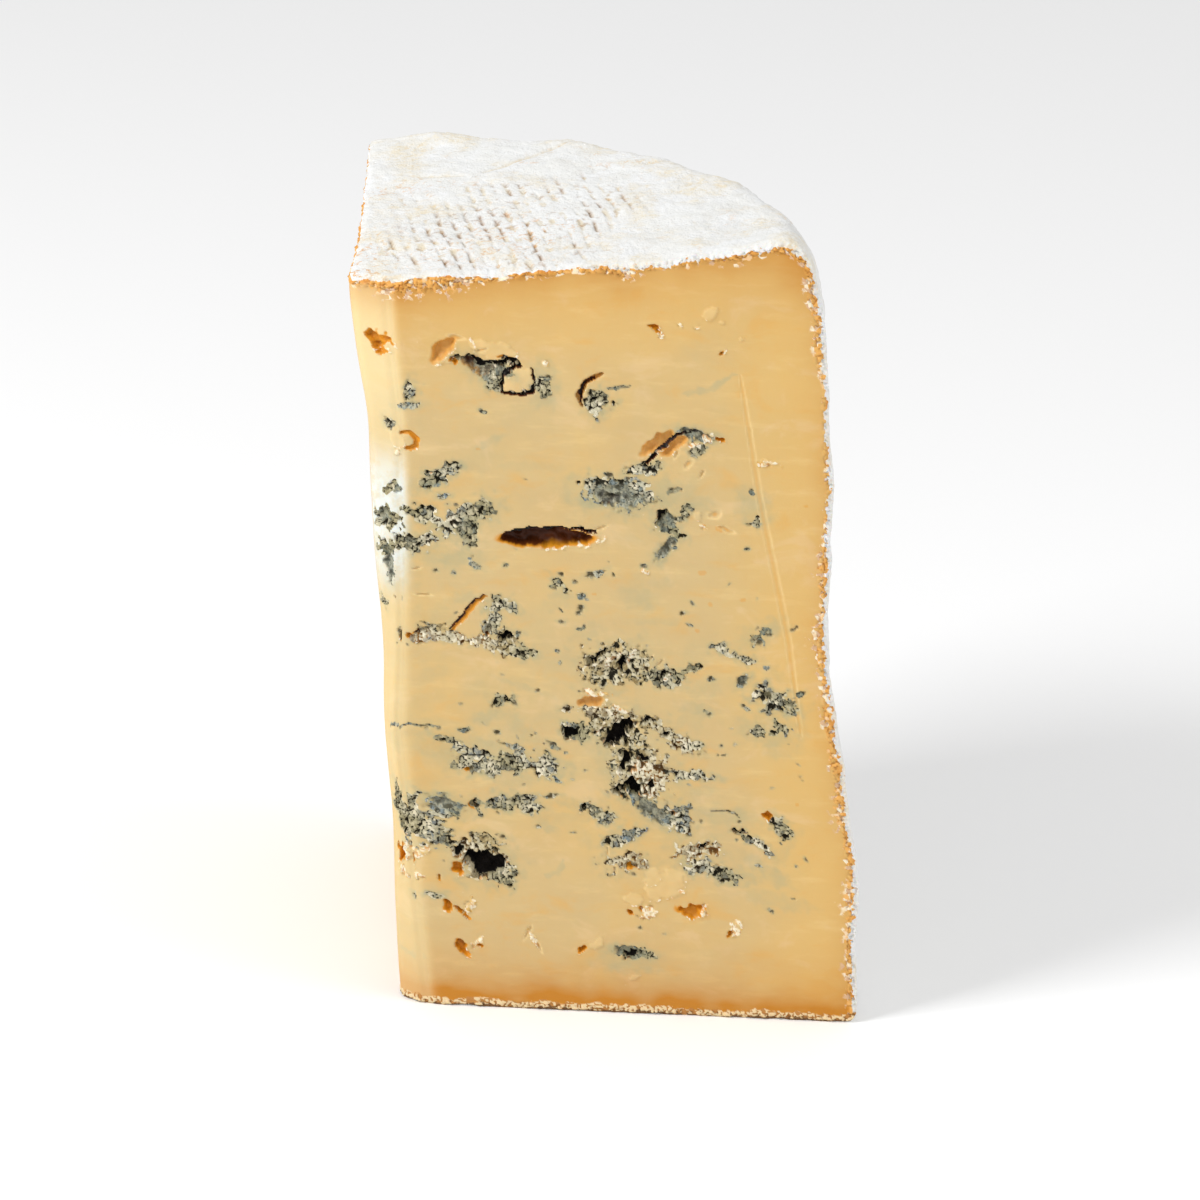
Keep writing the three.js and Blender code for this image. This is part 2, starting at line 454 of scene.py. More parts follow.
# Marks of the broad cut face: kind, place along the face and up, length, height, tilt in
# degrees. Places below 6.5 along lie on the blunt nose.
FRONT_MARKS = [
    # under the top rind
    ("eye", 4.3, 130.2, 5.2, 3.0, -8), ("eye", 4.0, 128.4, 1.8, 3.2, 80),
    ("scrape", 18.4, 130.8, 3.4, 1.0, -14), ("wall", 15.8, 128.6, 6.8, 2.8, 44),
    ("chip", 16.4, 127.0, 4.0, 2.0, 20), ("chip", 25.0, 128.6, 8.6, 3.0, -10),
    ("scrape", 22.9, 128.4, 2.6, 0.6, 18), ("ring", 27.2, 127.1, 3.4, 0.5, -8),
    ("curd", 21.2, 129.4, 1.0, 3.0, 8), ("pocket", 22.0, 125.4, 7.0, 2.8, -24),
    ("velvet", 24.4, 124.4, 5.6, 3.0, -8), ("eye", 17.6, 126.2, 1.6, 0.9, -30),
    ("crust", 25.0, 122.2, 2.2, 3.2, 10), ("chip", 29.2, 122.9, 5.2, 4.6, 10),
    ("curd", 34.6, 125.8, 1.3, 1.1, -30), ("haze", 33.8, 122.0, 3.4, 5.6, 0),
    ("crust", 33.4, 121.4, 2.0, 3.2, 0), ("fleck", 34.6, 123.2, 1.8, 1.0, 10),
    ("crust", 43.6, 118.8, 3.8, 3.0, 30), ("cave", 43.2, 119.0, 2.0, 0.8, 28),
    ("eye", 54.9, 133.3, 1.7, 1.0, -10), ("eye", 55.4, 132.3, 0.8, 1.0, 0),
    ("curd", 55.9, 131.6, 1.6, 1.0, -50), ("eye", 66.8, 128.2, 1.2, 0.7, 45),
    ("curd", 67.4, 128.4, 1.5, 0.7, 45), ("curd", 59.4, 133.6, 0.8, 0.7, 0),
    ("curd", 62.4, 133.2, 1.0, 0.8, 10), ("chip", 65.0, 135.8, 3.2, 2.0, 30),
    ("chip", 67.2, 134.2, 0.9, 0.7, 0), ("chip", 70.4, 131.0, 1.2, 0.5, 30),
    # level with the long pocket
    ("crust", 9.2, 120.4, 1.6, 3.4, -12), ("fleck", 8.6, 117.7, 3.9, 1.0, 6),
    ("crust", 4.2, 114.2, 2.2, 1.6, -30), ("chip", 6.0, 111.6, 3.0, 4.2, 0),
    ("curd", 5.6, 108.6, 1.4, 1.0, -20), ("fleck", 22.4, 116.9, 1.3, 0.9, -20),
    ("haze", 23.4, 110.8, 3.4, 1.0, 30), ("dot", 21.0, 109.6, 0.9, 0.6, 0),
    ("wall", 54.2, 111.0, 7.6, 2.7, 38), ("wall", 57.2, 110.4, 6.4, 1.9, 34),
    ("velvet", 61.2, 112.7, 5.6, 2.0, -6), ("shadow", 60.8, 113.2, 3.6, 1.0, 0),
    ("curd", 63.2, 112.0, 2.0, 1.6, 40), ("eye", 65.6, 111.7, 2.0, 1.0, -28),
    ("curd", 61.0, 110.8, 2.0, 1.0, 0), ("crust", 61.6, 109.8, 2.4, 1.4, 20),
    ("crust", 51.2, 106.0, 5.4, 1.5, 12),
    ("scrape", 57.6, 109.0, 2.4, 0.8, 62), ("scrape", 59.6, 107.0, 2.6, 1.2, 52),
    ("scrape", 62.0, 105.0, 2.2, 0.7, 55), ("curd", 74.4, 107.1, 3.8, 1.2, 2),
    ("fleck", 48.4, 103.9, 1.2, 0.9, 0),
    # two mouldy bands by the nose
    ("crust", 13.6, 104.4, 6.6, 2.2, 32), ("cave", 11.6, 104.8, 1.5, 0.9, 0),
    ("fleck", 12.2, 102.6, 2.8, 1.1, 10), ("fleck", 14.2, 100.4, 2.4, 1.0, 12),
    ("crust", 10.2, 96.4, 6.4, 2.3, -22), ("crust", 15.6, 95.6, 5.8, 2.6, 50),
    ("crust", 19.6, 97.2, 6.4, 3.4, 24), ("crust", 18.4, 92.8, 4.2, 2.4, 75),
    ("crust", 8.2, 91.2, 7.8, 2.6, 7), ("velvet", 17.6, 94.4, 3.2, 3.0, 60),
    ("crust", 3.6, 101.8, 3.0, 2.4, 20), ("crust", 2.8, 95.2, 3.4, 4.6, 60),
    ("velvet", 2.4, 95.8, 2.6, 3.0, 60), ("crust", 2.0, 89.4, 2.8, 2.4, -40),
    ("velvet", 3.2, 87.0, 2.6, 7.6, 8), ("haze", 2.8, 92.0, 6.0, 14.0, 0),
    ("fleck", 5.6, 101.6, 1.2, 1.6, 15), ("crust", 1.0, 79.2, 1.6, 2.6, 60),
    ("fleck", 19.2, 87.1, 2.6, 1.5, -40), ("haze", 14.5, 88.2, 8.0, 1.6, 2),
    ("fleck", 15.1, 85.3, 0.9, 0.9, 0), ("scrape", 8.0, 86.0, 2.2, 0.5, 12),
    # the long crack and the mould to its right
    ("crack", 32.6, 92.3, 17.6, 3.4, 3), ("scrape", 42.6, 94.4, 3.4, 0.6, 22),
    ("velvet", 46.8, 100.9, 11.4, 4.4, -4), ("shadow", 45.4, 100.4, 6.4, 3.0, -4),
    ("crust", 42.4, 102.9, 3.4, 2.6, -40), ("crust", 50.6, 101.8, 3.6, 3.2, 0),
    ("crust", 46.8, 103.2, 7.0, 1.2, -6), ("fleck", 44.6, 104.9, 1.2, 1.2, 0),
    ("haze", 55.8, 101.0, 8.0, 3.6, -10),
    ("fleck", 56.8, 101.9, 2.2, 0.9, 6), ("cave", 53.8, 96.6, 3.6, 1.4, 58),
    ("velvet", 55.2, 95.8, 3.6, 3.4, 50), ("crust", 58.2, 97.6, 3.8, 1.3, 48),
    ("crust", 56.6, 93.6, 3.2, 1.3, -30), ("velvet", 54.8, 90.8, 5.4, 1.9, 46),
    ("fleck", 50.5, 87.0, 1.3, 0.8, 10), ("curd", 50.8, 85.8, 1.4, 1.0, 0),
    ("haze", 71.4, 98.8, 4.6, 3.6, -60), ("fleck", 70.8, 101.8, 1.0, 0.8, 0),
    ("crust", 71.2, 95.4, 2.0, 1.5, -30), ("fleck", 69.6, 90.8, 0.9, 0.6, 0),
    ("scrape", 64.0, 97.4, 2.8, 1.6, 15), ("dot", 64.6, 94.6, 1.6, 1.0, -30),
    ("chip", 61.0, 97.2, 1.4, 1.6, -50), ("curd", 61.6, 95.2, 1.6, 1.0, -50),
    ("dot", 81.0, 99.0, 0.9, 0.8, 40), ("scrape", 66.0, 94.4, 3.4, 1.0, -24),
    ("dot", 61.0, 86.2, 1.8, 1.3, 0), ("dot", 62.4, 79.8, 0.9, 0.8, 0),
    ("dot", 68.5, 80.7, 1.2, 0.9, 0), ("dot", 59.6, 74.6, 1.1, 0.9, 0),
    # slanting slit, and the band that starts at the nose
    ("scrape", 9.2, 81.0, 3.6, 0.5, 2), ("crumble", 9.2, 73.6, 5.6, 2.0, 18),
    ("crack", 8.6, 74.2, 4.4, 0.7, 20), ("eye", 6.6, 72.6, 2.2, 1.2, -50),
    ("crumble", 14.6, 72.6, 4.8, 1.6, -10), ("crumble", 19.2, 71.8, 5.0, 1.5, -14),
    ("cave", 24.0, 73.1, 3.0, 2.6, 0), ("crust", 21.8, 76.2, 4.8, 1.9, 62),
    ("crack", 20.6, 74.2, 2.8, 1.0, 70), ("crumble", 23.6, 70.8, 5.4, 2.4, -20),
    ("crust", 27.2, 70.0, 3.4, 1.7, -12), ("fleck", 26.4, 73.8, 1.7, 1.3, 0),
    ("crust", 22.8, 79.6, 3.4, 1.5, 30), ("crust", 25.0, 78.8, 2.6, 1.4, -24),
    ("fleck", 34.6, 85.6, 0.9, 0.9, 0), ("crust", 34.4, 83.7, 2.8, 1.5, -48),
    ("fleck", 41.3, 85.5, 3.4, 1.2, 20), ("fleck", 37.4, 83.9, 1.0, 0.7, 0),
    ("haze", 34.7, 81.3, 2.6, 1.0, 0), ("fleck", 38.5, 81.3, 1.3, 0.9, 20),
    ("fleck", 38.4, 78.8, 1.5, 1.1, 60), ("fleck", 34.5, 76.3, 1.1, 0.8, 0),
    ("fleck", 38.0, 75.0, 1.9, 0.7, 14), ("fleck", 33.3, 70.4, 0.7, 0.9, 0),
    ("fleck", 33.7, 68.2, 0.7, 0.6, 0), ("dot", 41.0, 81.6, 0.8, 0.7, 0),
    # curled pocket in the middle and the dotted band to its right
    ("crumble", 43.8, 67.8, 10.0, 6.4, 14), ("cave", 41.2, 69.6, 4.6, 1.5, 42),
    ("cave", 45.2, 68.0, 3.0, 1.9, 55), ("curd", 43.2, 68.6, 5.4, 1.0, 48),
    ("curd", 47.2, 69.8, 4.4, 1.0, 50), ("eye", 39.4, 68.4, 1.4, 1.6, 0),
    ("scrape", 50.0, 68.6, 3.4, 0.5, 46), ("scrape", 52.2, 68.2, 2.6, 0.5, 44),
    ("crust", 53.2, 65.6, 6.0, 2.6, 4), ("cave", 52.8, 66.1, 2.2, 1.4, -12),
    ("crust", 58.3, 67.2, 3.2, 1.4, 28), ("fleck", 58.9, 80.0, 1.2, 0.6, -42),
    ("fleck", 57.1, 78.0, 1.1, 0.6, 34), ("fleck", 58.3, 75.7, 1.1, 0.5, -30),
    ("crust", 63.4, 71.6, 3.0, 1.0, 20), ("crust", 65.4, 70.2, 4.6, 1.2, -20),
    ("crust", 68.2, 69.2, 3.2, 1.3, -10), ("haze", 71.2, 74.0, 6.0, 2.8, 30),
    ("fleck", 70.4, 72.8, 2.2, 1.7, -20), ("fleck", 72.4, 74.6, 1.2, 1.6, 70),
    ("fleck", 72.2, 67.7, 0.8, 0.8, 0), ("velvet", 67.7, 64.8, 3.0, 1.2, 42),
    ("fleck", 61.9, 65.2, 1.4, 0.6, -10), ("crust", 73.2, 61.2, 6.6, 3.4, -24),
    ("eye", 72.0, 61.8, 2.0, 1.4, 0), ("fleck", 78.1, 62.5, 1.9, 0.7, 32),
    ("fleck", 67.9, 59.6, 1.8, 0.6, -36), ("crust", 70.2, 55.0, 2.6, 1.6, 0),
    ("crust", 74.2, 55.4, 2.6, 2.4, 40), ("haze", 72.4, 55.0, 7.5, 3.4, 0),
    ("fleck", 60.6, 58.8, 1.8, 0.8, -24), ("haze", 58.6, 59.4, 4.0, 1.4, -10),
    # lower left streaks
    ("crust", 22.6, 60.6, 3.0, 1.6, 18), ("fleck", 24.6, 60.2, 1.2, 0.8, -30),
    ("haze", 19.6, 57.6, 4.0, 1.6, 30), ("fleck", 14.9, 54.8, 2.4, 0.8, 8),
    ("fleck", 21.2, 54.3, 1.4, 0.7, -32), ("fleck", 23.8, 51.6, 4.0, 0.8, -14),
    ("crust", 11.8, 52.4, 4.6, 1.5, -22), ("crust", 16.2, 50.6, 6.6, 1.3, -10),
    ("crust", 17.6, 47.8, 8.4, 2.9, -4), ("crust", 23.2, 48.4, 6.6, 3.0, 4),
    ("crust", 28.8, 47.8, 6.4, 3.0, -4), ("eye", 15.6, 46.8, 1.8, 0.9, 20),
    ("haze", 18.0, 50.2, 18.0, 4.0, -6), ("fleck", 31.8, 45.0, 1.8, 0.6, -40),
    ("fleck", 31.6, 51.8, 2.4, 0.9, -28),
    # the black hollows in the middle
    ("wall", 39.0, 60.6, 5.6, 2.2, 10), ("curd", 40.6, 62.0, 4.4, 1.2, -10),
    ("crumble", 34.4, 59.2, 2.4, 1.1, 10), ("crumble", 39.8, 58.4, 4.4, 1.4, -8),
    ("cave", 34.6, 54.4, 2.3, 2.6, 30), ("curd", 44.2, 59.2, 3.4, 1.0, -20),
    ("curd", 40.2, 55.4, 3.2, 1.0, 60), ("curd", 46.6, 47.4, 4.6, 1.1, 70),
    ("curd", 48.6, 42.2, 3.2, 1.0, 20), ("curd", 43.4, 46.6, 2.6, 0.9, 80),
    ("crust", 36.4, 54.6, 3.4, 3.0, 0), ("cave", 44.0, 54.8, 7.4, 3.6, 48),
    ("cave", 42.4, 52.8, 3.2, 2.2, 10), ("crumble", 41.0, 56.4, 5.4, 4.6, 40),
    ("crumble", 46.6, 53.4, 3.6, 2.6, 0), ("cave", 49.6, 57.2, 2.6, 0.9, -6),
    ("crumble", 50.4, 56.2, 5.0, 2.8, -20), ("cave", 53.2, 54.2, 1.9, 1.1, 10),
    ("crumble", 54.6, 53.4, 7.6, 2.4, -26), ("crust", 57.8, 52.0, 3.0, 1.3, 6),
    ("cave", 44.8, 48.8, 5.0, 2.0, 66), ("cave", 48.2, 49.2, 3.0, 1.6, -28),
    ("cave", 45.2, 43.8, 5.2, 3.2, 12), ("cave", 49.2, 44.4, 2.0, 1.6, 0),
    ("crumble", 47.4, 46.6, 8.6, 9.0, 60), ("velvet", 49.4, 39.2, 9.4, 3.0, -34),
    ("crust", 54.2, 37.6, 5.0, 3.6, -60), ("curd", 53.2, 39.2, 2.6, 1.4, -40),
    ("crust", 56.6, 46.3, 6.8, 1.2, -4), ("crust", 43.4, 33.8, 6.6, 1.8, 26),
    ("velvet", 45.0, 34.2, 2.8, 1.8, 20), ("eye", 44.8, 28.2, 2.8, 1.6, 22),
    ("crumble", 43.4, 28.8, 6.4, 3.0, 10), ("scrape", 40.4, 30.6, 3.6, 0.5, 80),
    ("scrape", 41.6, 27.2, 1.8, 0.8, 80),
    # lower right
    ("cave", 58.4, 32.0, 2.8, 0.9, 58), ("crumble", 57.4, 31.4, 7.2, 2.4, 8),
    ("crust", 60.2, 27.4, 8.6, 2.2, -12), ("scrape", 61.0, 28.4, 2.2, 0.9, 0),
    ("haze", 62.6, 38.4, 6.6, 2.4, -6), ("cave", 65.2, 35.3, 2.0, 1.0, 14),
    ("crust", 68.6, 32.9, 5.8, 1.4, -38), ("eye", 70.8, 38.5, 2.2, 1.3, 80),
    ("crust", 73.4, 36.2, 3.6, 2.0, -58), ("haze", 69.8, 27.6, 6.4, 1.8, -36),
    ("fleck", 69.0, 28.4, 1.4, 0.7, -20), ("dot", 76.6, 40.6, 0.9, 0.8, 0),
    # the mould and the black hollow at the lower left
    ("crust", 3.8, 38.4, 8.6, 3.8, -72), ("crust", 6.4, 35.4, 7.0, 3.8, -44),
    ("cave", 4.8, 34.2, 1.3, 1.3, 0), ("velvet", 10.2, 39.8, 5.6, 3.2, -10),
    ("crust", 10.4, 38.0, 5.0, 1.6, 0), ("crust", 9.0, 34.0, 5.0, 2.4, -34),
    ("eye", 15.4, 39.9, 1.4, 2.0, 10), ("crust", 16.4, 39.8, 2.6, 2.2, 0),
    ("crust", 20.2, 40.4, 3.6, 2.0, 10), ("crust", 25.0, 40.2, 6.0, 2.4, -14),
    ("fleck", 30.3, 41.9, 3.4, 0.8, 6), ("haze", 28.4, 36.8, 4.0, 1.4, -36),
    ("fleck", 27.6, 35.6, 1.2, 0.7, 10), ("cave", 36.4, 39.6, 2.8, 1.1, 62),
    ("crust", 38.8, 38.6, 5.6, 2.4, -22), ("fleck", 34.2, 34.6, 1.2, 0.6, 0),
    ("cave", 17.4, 28.2, 7.6, 5.2, 4), ("cave", 12.2, 30.8, 2.6, 1.8, -60),
    ("crumble", 15.6, 31.8, 7.6, 3.0, 6), ("crust", 20.4, 26.0, 4.4, 3.0, 20),
    ("fleck", 20.9, 33.7, 1.2, 0.9, 0), ("eye", 12.0, 27.0, 1.6, 3.0, 0),
    ("eye", 2.6, 29.4, 3.8, 3.0, 70), ("curd", 5.0, 30.4, 3.0, 2.6, 40),
    ("curd", 3.4, 25.6, 3.4, 1.6, 0), ("crust", 7.2, 21.7, 2.8, 1.4, 0),
    ("eye", 8.4, 25.4, 0.7, 1.8, 0),
    # near the base
    ("eye", 9.8, 19.6, 2.2, 2.0, 0), ("eye", 12.4, 18.4, 3.6, 0.9, -42),
    ("curd", 13.6, 19.6, 3.0, 1.6, 60), ("eye", 12.0, 11.2, 4.6, 1.9, -52),
    ("curd", 14.6, 12.6, 2.4, 1.4, 40), ("eye", 15.2, 11.9, 1.3, 0.8, 0),
    ("scrape", 24.4, 14.6, 3.6, 0.7, 62), ("curd", 25.2, 13.8, 4.2, 0.8, -64),
    ("scrape", 26.2, 12.2, 3.6, 0.7, -62), ("eye", 34.6, 11.4, 2.4, 1.0, 32),
    ("chip", 37.4, 12.8, 2.8, 1.7, 34), ("chip", 51.0, 24.6, 8.6, 4.6, 30),
    ("chip", 48.6, 26.4, 3.6, 2.6, 60), ("chip", 44.8, 21.8, 3.2, 2.6, 0),
    ("curd", 47.6, 18.8, 3.6, 1.8, 20),
    ("eye", 46.4, 19.7, 1.0, 0.8, 60), ("eye", 44.2, 18.9, 1.3, 0.8, -30),
    ("eye", 55.4, 19.3, 4.6, 2.3, -4), ("curd", 58.0, 19.2, 3.2, 0.9, 70),
    ("eye", 62.4, 15.0, 1.7, 0.9, 60), ("curd", 63.8, 15.8, 3.4, 1.6, 46),
    ("velvet", 43.6, 11.0, 6.4, 2.0, -4), ("cave", 43.2, 10.6, 2.4, 1.2, 30),
    ("crust", 46.2, 10.8, 3.4, 1.6, -10), ("haze", 42.6, 9.0, 7.0, 2.4, 0),
    ("haze", 2.2, 9.8, 3.0, 0.7, -12), ("chip", 44.0, 6.0, 2.4, 0.9, 30),
]

# Thin marks: kind, width, then points along and up.
FRONT_LINES = [
    # the edge of the loose chip by the upper pocket, and the crescent beside it
    ("slit", 0.8, (24.6, 93.0), (27.6, 93.9), (33.2, 94.2), (38.6, 94.3), (41.8, 93.6)),
    ("slit", 0.8, (30.2, 125.9), (28.4, 125.1), (26.4, 123.3), (26.1, 120.6), (29.2, 120.2),
     (31.9, 120.4), (32.4, 122.4), (31.6, 124.6)),
    ("cave", 1.3, (17.6, 126.9), (20.2, 127.1), (22.2, 125.8), (24.6, 125.9), (29.8, 126.3)),
    ("wall", 1.1, (40.6, 117.8), (40.1, 120.0), (41.7, 122.6), (44.8, 124.2)),
    ("slit", 0.6, (40.6, 118.6), (40.3, 120.8), (41.6, 122.4), (43.4, 123.4)),
    ("fleck", 0.5, (45.4, 121.2), (47.8, 121.6), (49.8, 121.9)),
    ("haze", 0.8, (59.6, 120.3), (62.4, 121.1), (65.6, 121.8), (69.2, 124.4)),
    ("ring", 1.0, (6.9, 112.4), (8.6, 112.5), (9.9, 111.2), (9.5, 109.7), (7.4, 109.5)),
    # dark fold inside the slanting pocket
    ("slit", 0.7, (50.9, 106.6), (53.0, 108.4), (55.6, 110.7), (57.6, 112.4), (60.2, 112.9)),
    # the slanting slit
    ("ring", 0.9, (13.6, 73.6), (16.2, 76.6), (18.5, 79.4), (20.8, 81.0)),
    ("slit", 0.28, (13.2, 73.9), (15.8, 76.9), (18.1, 79.7), (20.4, 81.2)),
    ("fleck", 0.5, (2.4, 54.6), (4.4, 55.6), (7.2, 55.3), (9.8, 55.2)),
    ("haze", 0.7, (28.4, 25.8), (30.4, 26.5), (31.8, 28.0), (32.1, 29.2)),
    ("fleck", 0.4, (60.2, 39.2), (62.6, 39.6), (64.6, 39.2), (65.4, 38.0)),
    # the closed-up hole of a piercing needle
    ("needle", 1.5, (70.0, 124.0), (72.4, 100.2), (74.7, 84.4), (76.3, 73.5), (77.9, 54.1)),
]


# The grid of crumbs repeats after this many of them.
CRUMB_GRID = 128


def crumb_cells(along, up, size, seed):
    """Crumbs as the cells of a jittered grid.

    Returns how far each point lies from the gap between two crumbs, and its crumb's shade."""
    rng = np.random.default_rng(seed)
    jitter = rng.uniform(0.08, 0.92, (CRUMB_GRID, CRUMB_GRID, 2)).astype(np.float32)
    shades = rng.uniform(0, 1, (CRUMB_GRID, CRUMB_GRID)).astype(np.float32)
    u = along / size
    v = up / size
    column = np.floor(u).astype(int)
    row = np.floor(v).astype(int)
    first = np.full(len(u), 9.0, np.float32)
    second = first.copy()
    shade = np.zeros(len(u), np.float32)
    for i, j in itertools.product((-1, 0, 1), repeat=2):
        a = (column + i) % CRUMB_GRID
        b = (row + j) % CRUMB_GRID
        distance = np.hypot(column + i + jitter[a, b, 0] - u, row + j + jitter[a, b, 1] - v)
        nearer = distance < first
        second = np.where(nearer, first, np.minimum(second, distance))
        shade = np.where(nearer, shades[a, b], shade)
        first = np.where(nearer, distance, first)
    return (second - first) * size, shade


class CutSheet:
    """The marks of the two cut faces and the nose, worked out point by point.

    Along counts outwards on the broad face, and on below the nose on the second face."""

    FINE_CRUMB = 0.85
    COARSE_CRUMB = 1.5
    CHANNELS = ("crust", "mould", "haze", "warm", "dark", "pale", "lip", "velvet", "light")

    def __init__(self, along, up, places, seed):
        self.along = along
        self.up = up
        self.hollow = np.zeros(len(along), np.float32)
        self.raised = np.zeros(len(along), np.float32)
        self.channel = {name: np.zeros(len(along), np.float32) for name in self.CHANNELS}
        self.stray = [
            0.8 * ripple(places, 1.1, seed + k) + 0.9 * ripple(places, 2.6, seed + 2 + k)
            for k in range(2)
        ]
        self.tatter = ripple(places, 0.8, seed + 4, 2)
        self.lump = ripple(places, 2.2, seed + 5, 2)
        shift = 0.3 * ripple(places, 1.3, seed + 6)
        fine = crumb_cells(along + shift, up - shift, self.FINE_CRUMB, seed + 7)
        coarse = crumb_cells(along - shift, up + shift, self.COARSE_CRUMB, seed + 8)
        large = self.lump > 0.2
        self.gap = 1 - np.where(large, ease(0, 0.34, coarse[0]), ease(0, 0.26, fine[0]))
        self.shade = np.where(large, coarse[1], fine[1])

    def mark(self, rule, picked, distance, downhill, strength=1.0):
        """Adds one mark to the picked points. Distance is 1 at its outline, and downhill is
        above 0 on its lower right side."""
        depth = rule.get("depth", 0) * strength
        place = np.clip(downhill * distance, -1, 1)
        inside = ease(1.05, 1.05 - rule.get("steep", 0.4), distance)
        if depth > 0:
            walls = depth * inside * (0.85 - 0.3 * place + 0.25 * self.lump[picked])
            self.hollow[picked] = np.maximum(self.hollow[picked], walls)
        elif depth < 0:
            plate = -depth * ease(1.1, 1.1 - rule.get("steep", 0.5), distance)
            plate = plate * (1 + 0.3 * self.lump[picked])
            self.raised[picked] = np.maximum(self.raised[picked], plate)
        ragged = distance + 0.3 * self.tatter[picked]
        lit = rule.get("lit", 2.0)
        fade = rule.get("fade", 0.45)
        spread = {
            "crust": ease(1.45, 1.05, ragged),
            "mould": ease(1.7, 1.3, distance),
            "haze": ease(2.5, 0.9, distance + 0.35 * self.lump[picked]),
            "warm": ease(0.7, 0.2, distance) if "twin" in rule else ease(1.2, 0.9, distance),
            # dark: painted shade over the walls above where they catch the light, and real dark
            # mould in flecks
            "dark": np.maximum(inside, ease(1.03, 0.9, distance) * ("hole" in rule))
                    * ease(lit + fade, lit - fade, place),
            "pale": ease(1.3, 0.9, ragged),
            # a rim painted pale as a highlight, brightest on its lower right side where the light
            # falls
            "lip": bump_at(distance, 1.14, 0.15) * np.clip(0.3 + downhill, 0.05, 1),
            "velvet": ease(1.1, 0.85, ragged),
            "light": ease(1.1, 0.95, distance) * (0.8 + 0.5 * self.lump[picked]),
        }
        if "twin" in rule:
            spread["light"] = bump_at(distance, 0.95, 0.24) * (0.8 + 0.5 * self.lump[picked])
        for name, share in spread.items():
            if name in rule:
                field = self.channel[name]
                field[picked] = np.maximum(field[picked], rule[name] * min(strength, 1) * share)

    def blot(self, kind, along, up, length, height, tilt, strength=1.0):
        """A mark inside a ragged oval."""
        reach = 1.6 * max(length, height) + 2
        picked = np.flatnonzero(
            (np.abs(self.along - along) < reach) & (np.abs(self.up - up) < reach))
        if not len(picked):
            return
        turn = math.radians(tilt)
        x = self.along[picked] - along
        z = self.up[picked] - up
        loose = KINDS[kind]["ragged"] * (0.25 + 0.42 * min(length, height, 3.2))
        p = x * math.cos(turn) + z * math.sin(turn) + loose * self.stray[0][picked]
        q = z * math.cos(turn) - x * math.sin(turn) + loose * self.stray[1][picked]
        distance = np.hypot(p / (length / 2), q / (height / 2))
        size = np.maximum(np.hypot(x, z), 0.01)
        rule = dict(KINDS[kind])
        rule["depth"] = min(rule.get("depth", 0), 0.5 + 0.95 * min(length, height))
        self.mark(rule, picked, distance, (0.45 * x - z) / size, strength)

    def line(self, kind, width, *points):
        """A mark along a bent line, thinning towards its ends."""
        points = np.array(points, float)
        low = points.min(axis=0) - 4
        high = points.max(axis=0) + 4
        picked = np.flatnonzero(
            (self.along > low[0]) & (self.along < high[0])
            & (self.up > low[1]) & (self.up < high[1]))
        loose = KINDS[kind]["ragged"] * min(0.8, 0.3 + 0.7 * width)
        place = np.stack([self.along[picked] + loose * self.stray[0][picked],
                          self.up[picked] + loose * self.stray[1][picked]], axis=1)
        best = np.full(len(picked), 1e9)
        downhill = np.zeros(len(picked))
        lengths = np.linalg.norm(np.diff(points, axis=0), axis=1)
        before = np.concatenate([[0], np.cumsum(lengths)])
        for start, end, length, gone in zip(points[:-1], points[1:], lengths, before):
            way = (end - start) / length
            t = np.clip((place - start) @ way, 0, length)
            off = place - start - t[:, None] * way
            reach = np.linalg.norm(off, axis=1)
            share = (gone + t) / before[-1]
            taper = 0.35 + 0.65 * np.sqrt(np.clip(4 * share * (1 - share), 0, 1))
            distance = reach / (width / 2 * taper)
            nearer = distance < best
            best[nearer] = distance[nearer]
            slope = (0.45 * off[:, 0] - off[:, 1]) / np.maximum(reach, 0.01)
            downhill[nearer] = slope[nearer]
        rule = dict(KINDS[kind])
        rule["depth"] = min(rule.get("depth", 0), 0.4 + 1.2 * width)
        self.mark(rule, picked, best, downhill)


def on_layers(along, up):
    """Lifts a place with the layers of curd, which climb to the rind as the top does."""
    return along, up + 0.031 * along + 1.6 * (1 - math.exp(-up / 55))


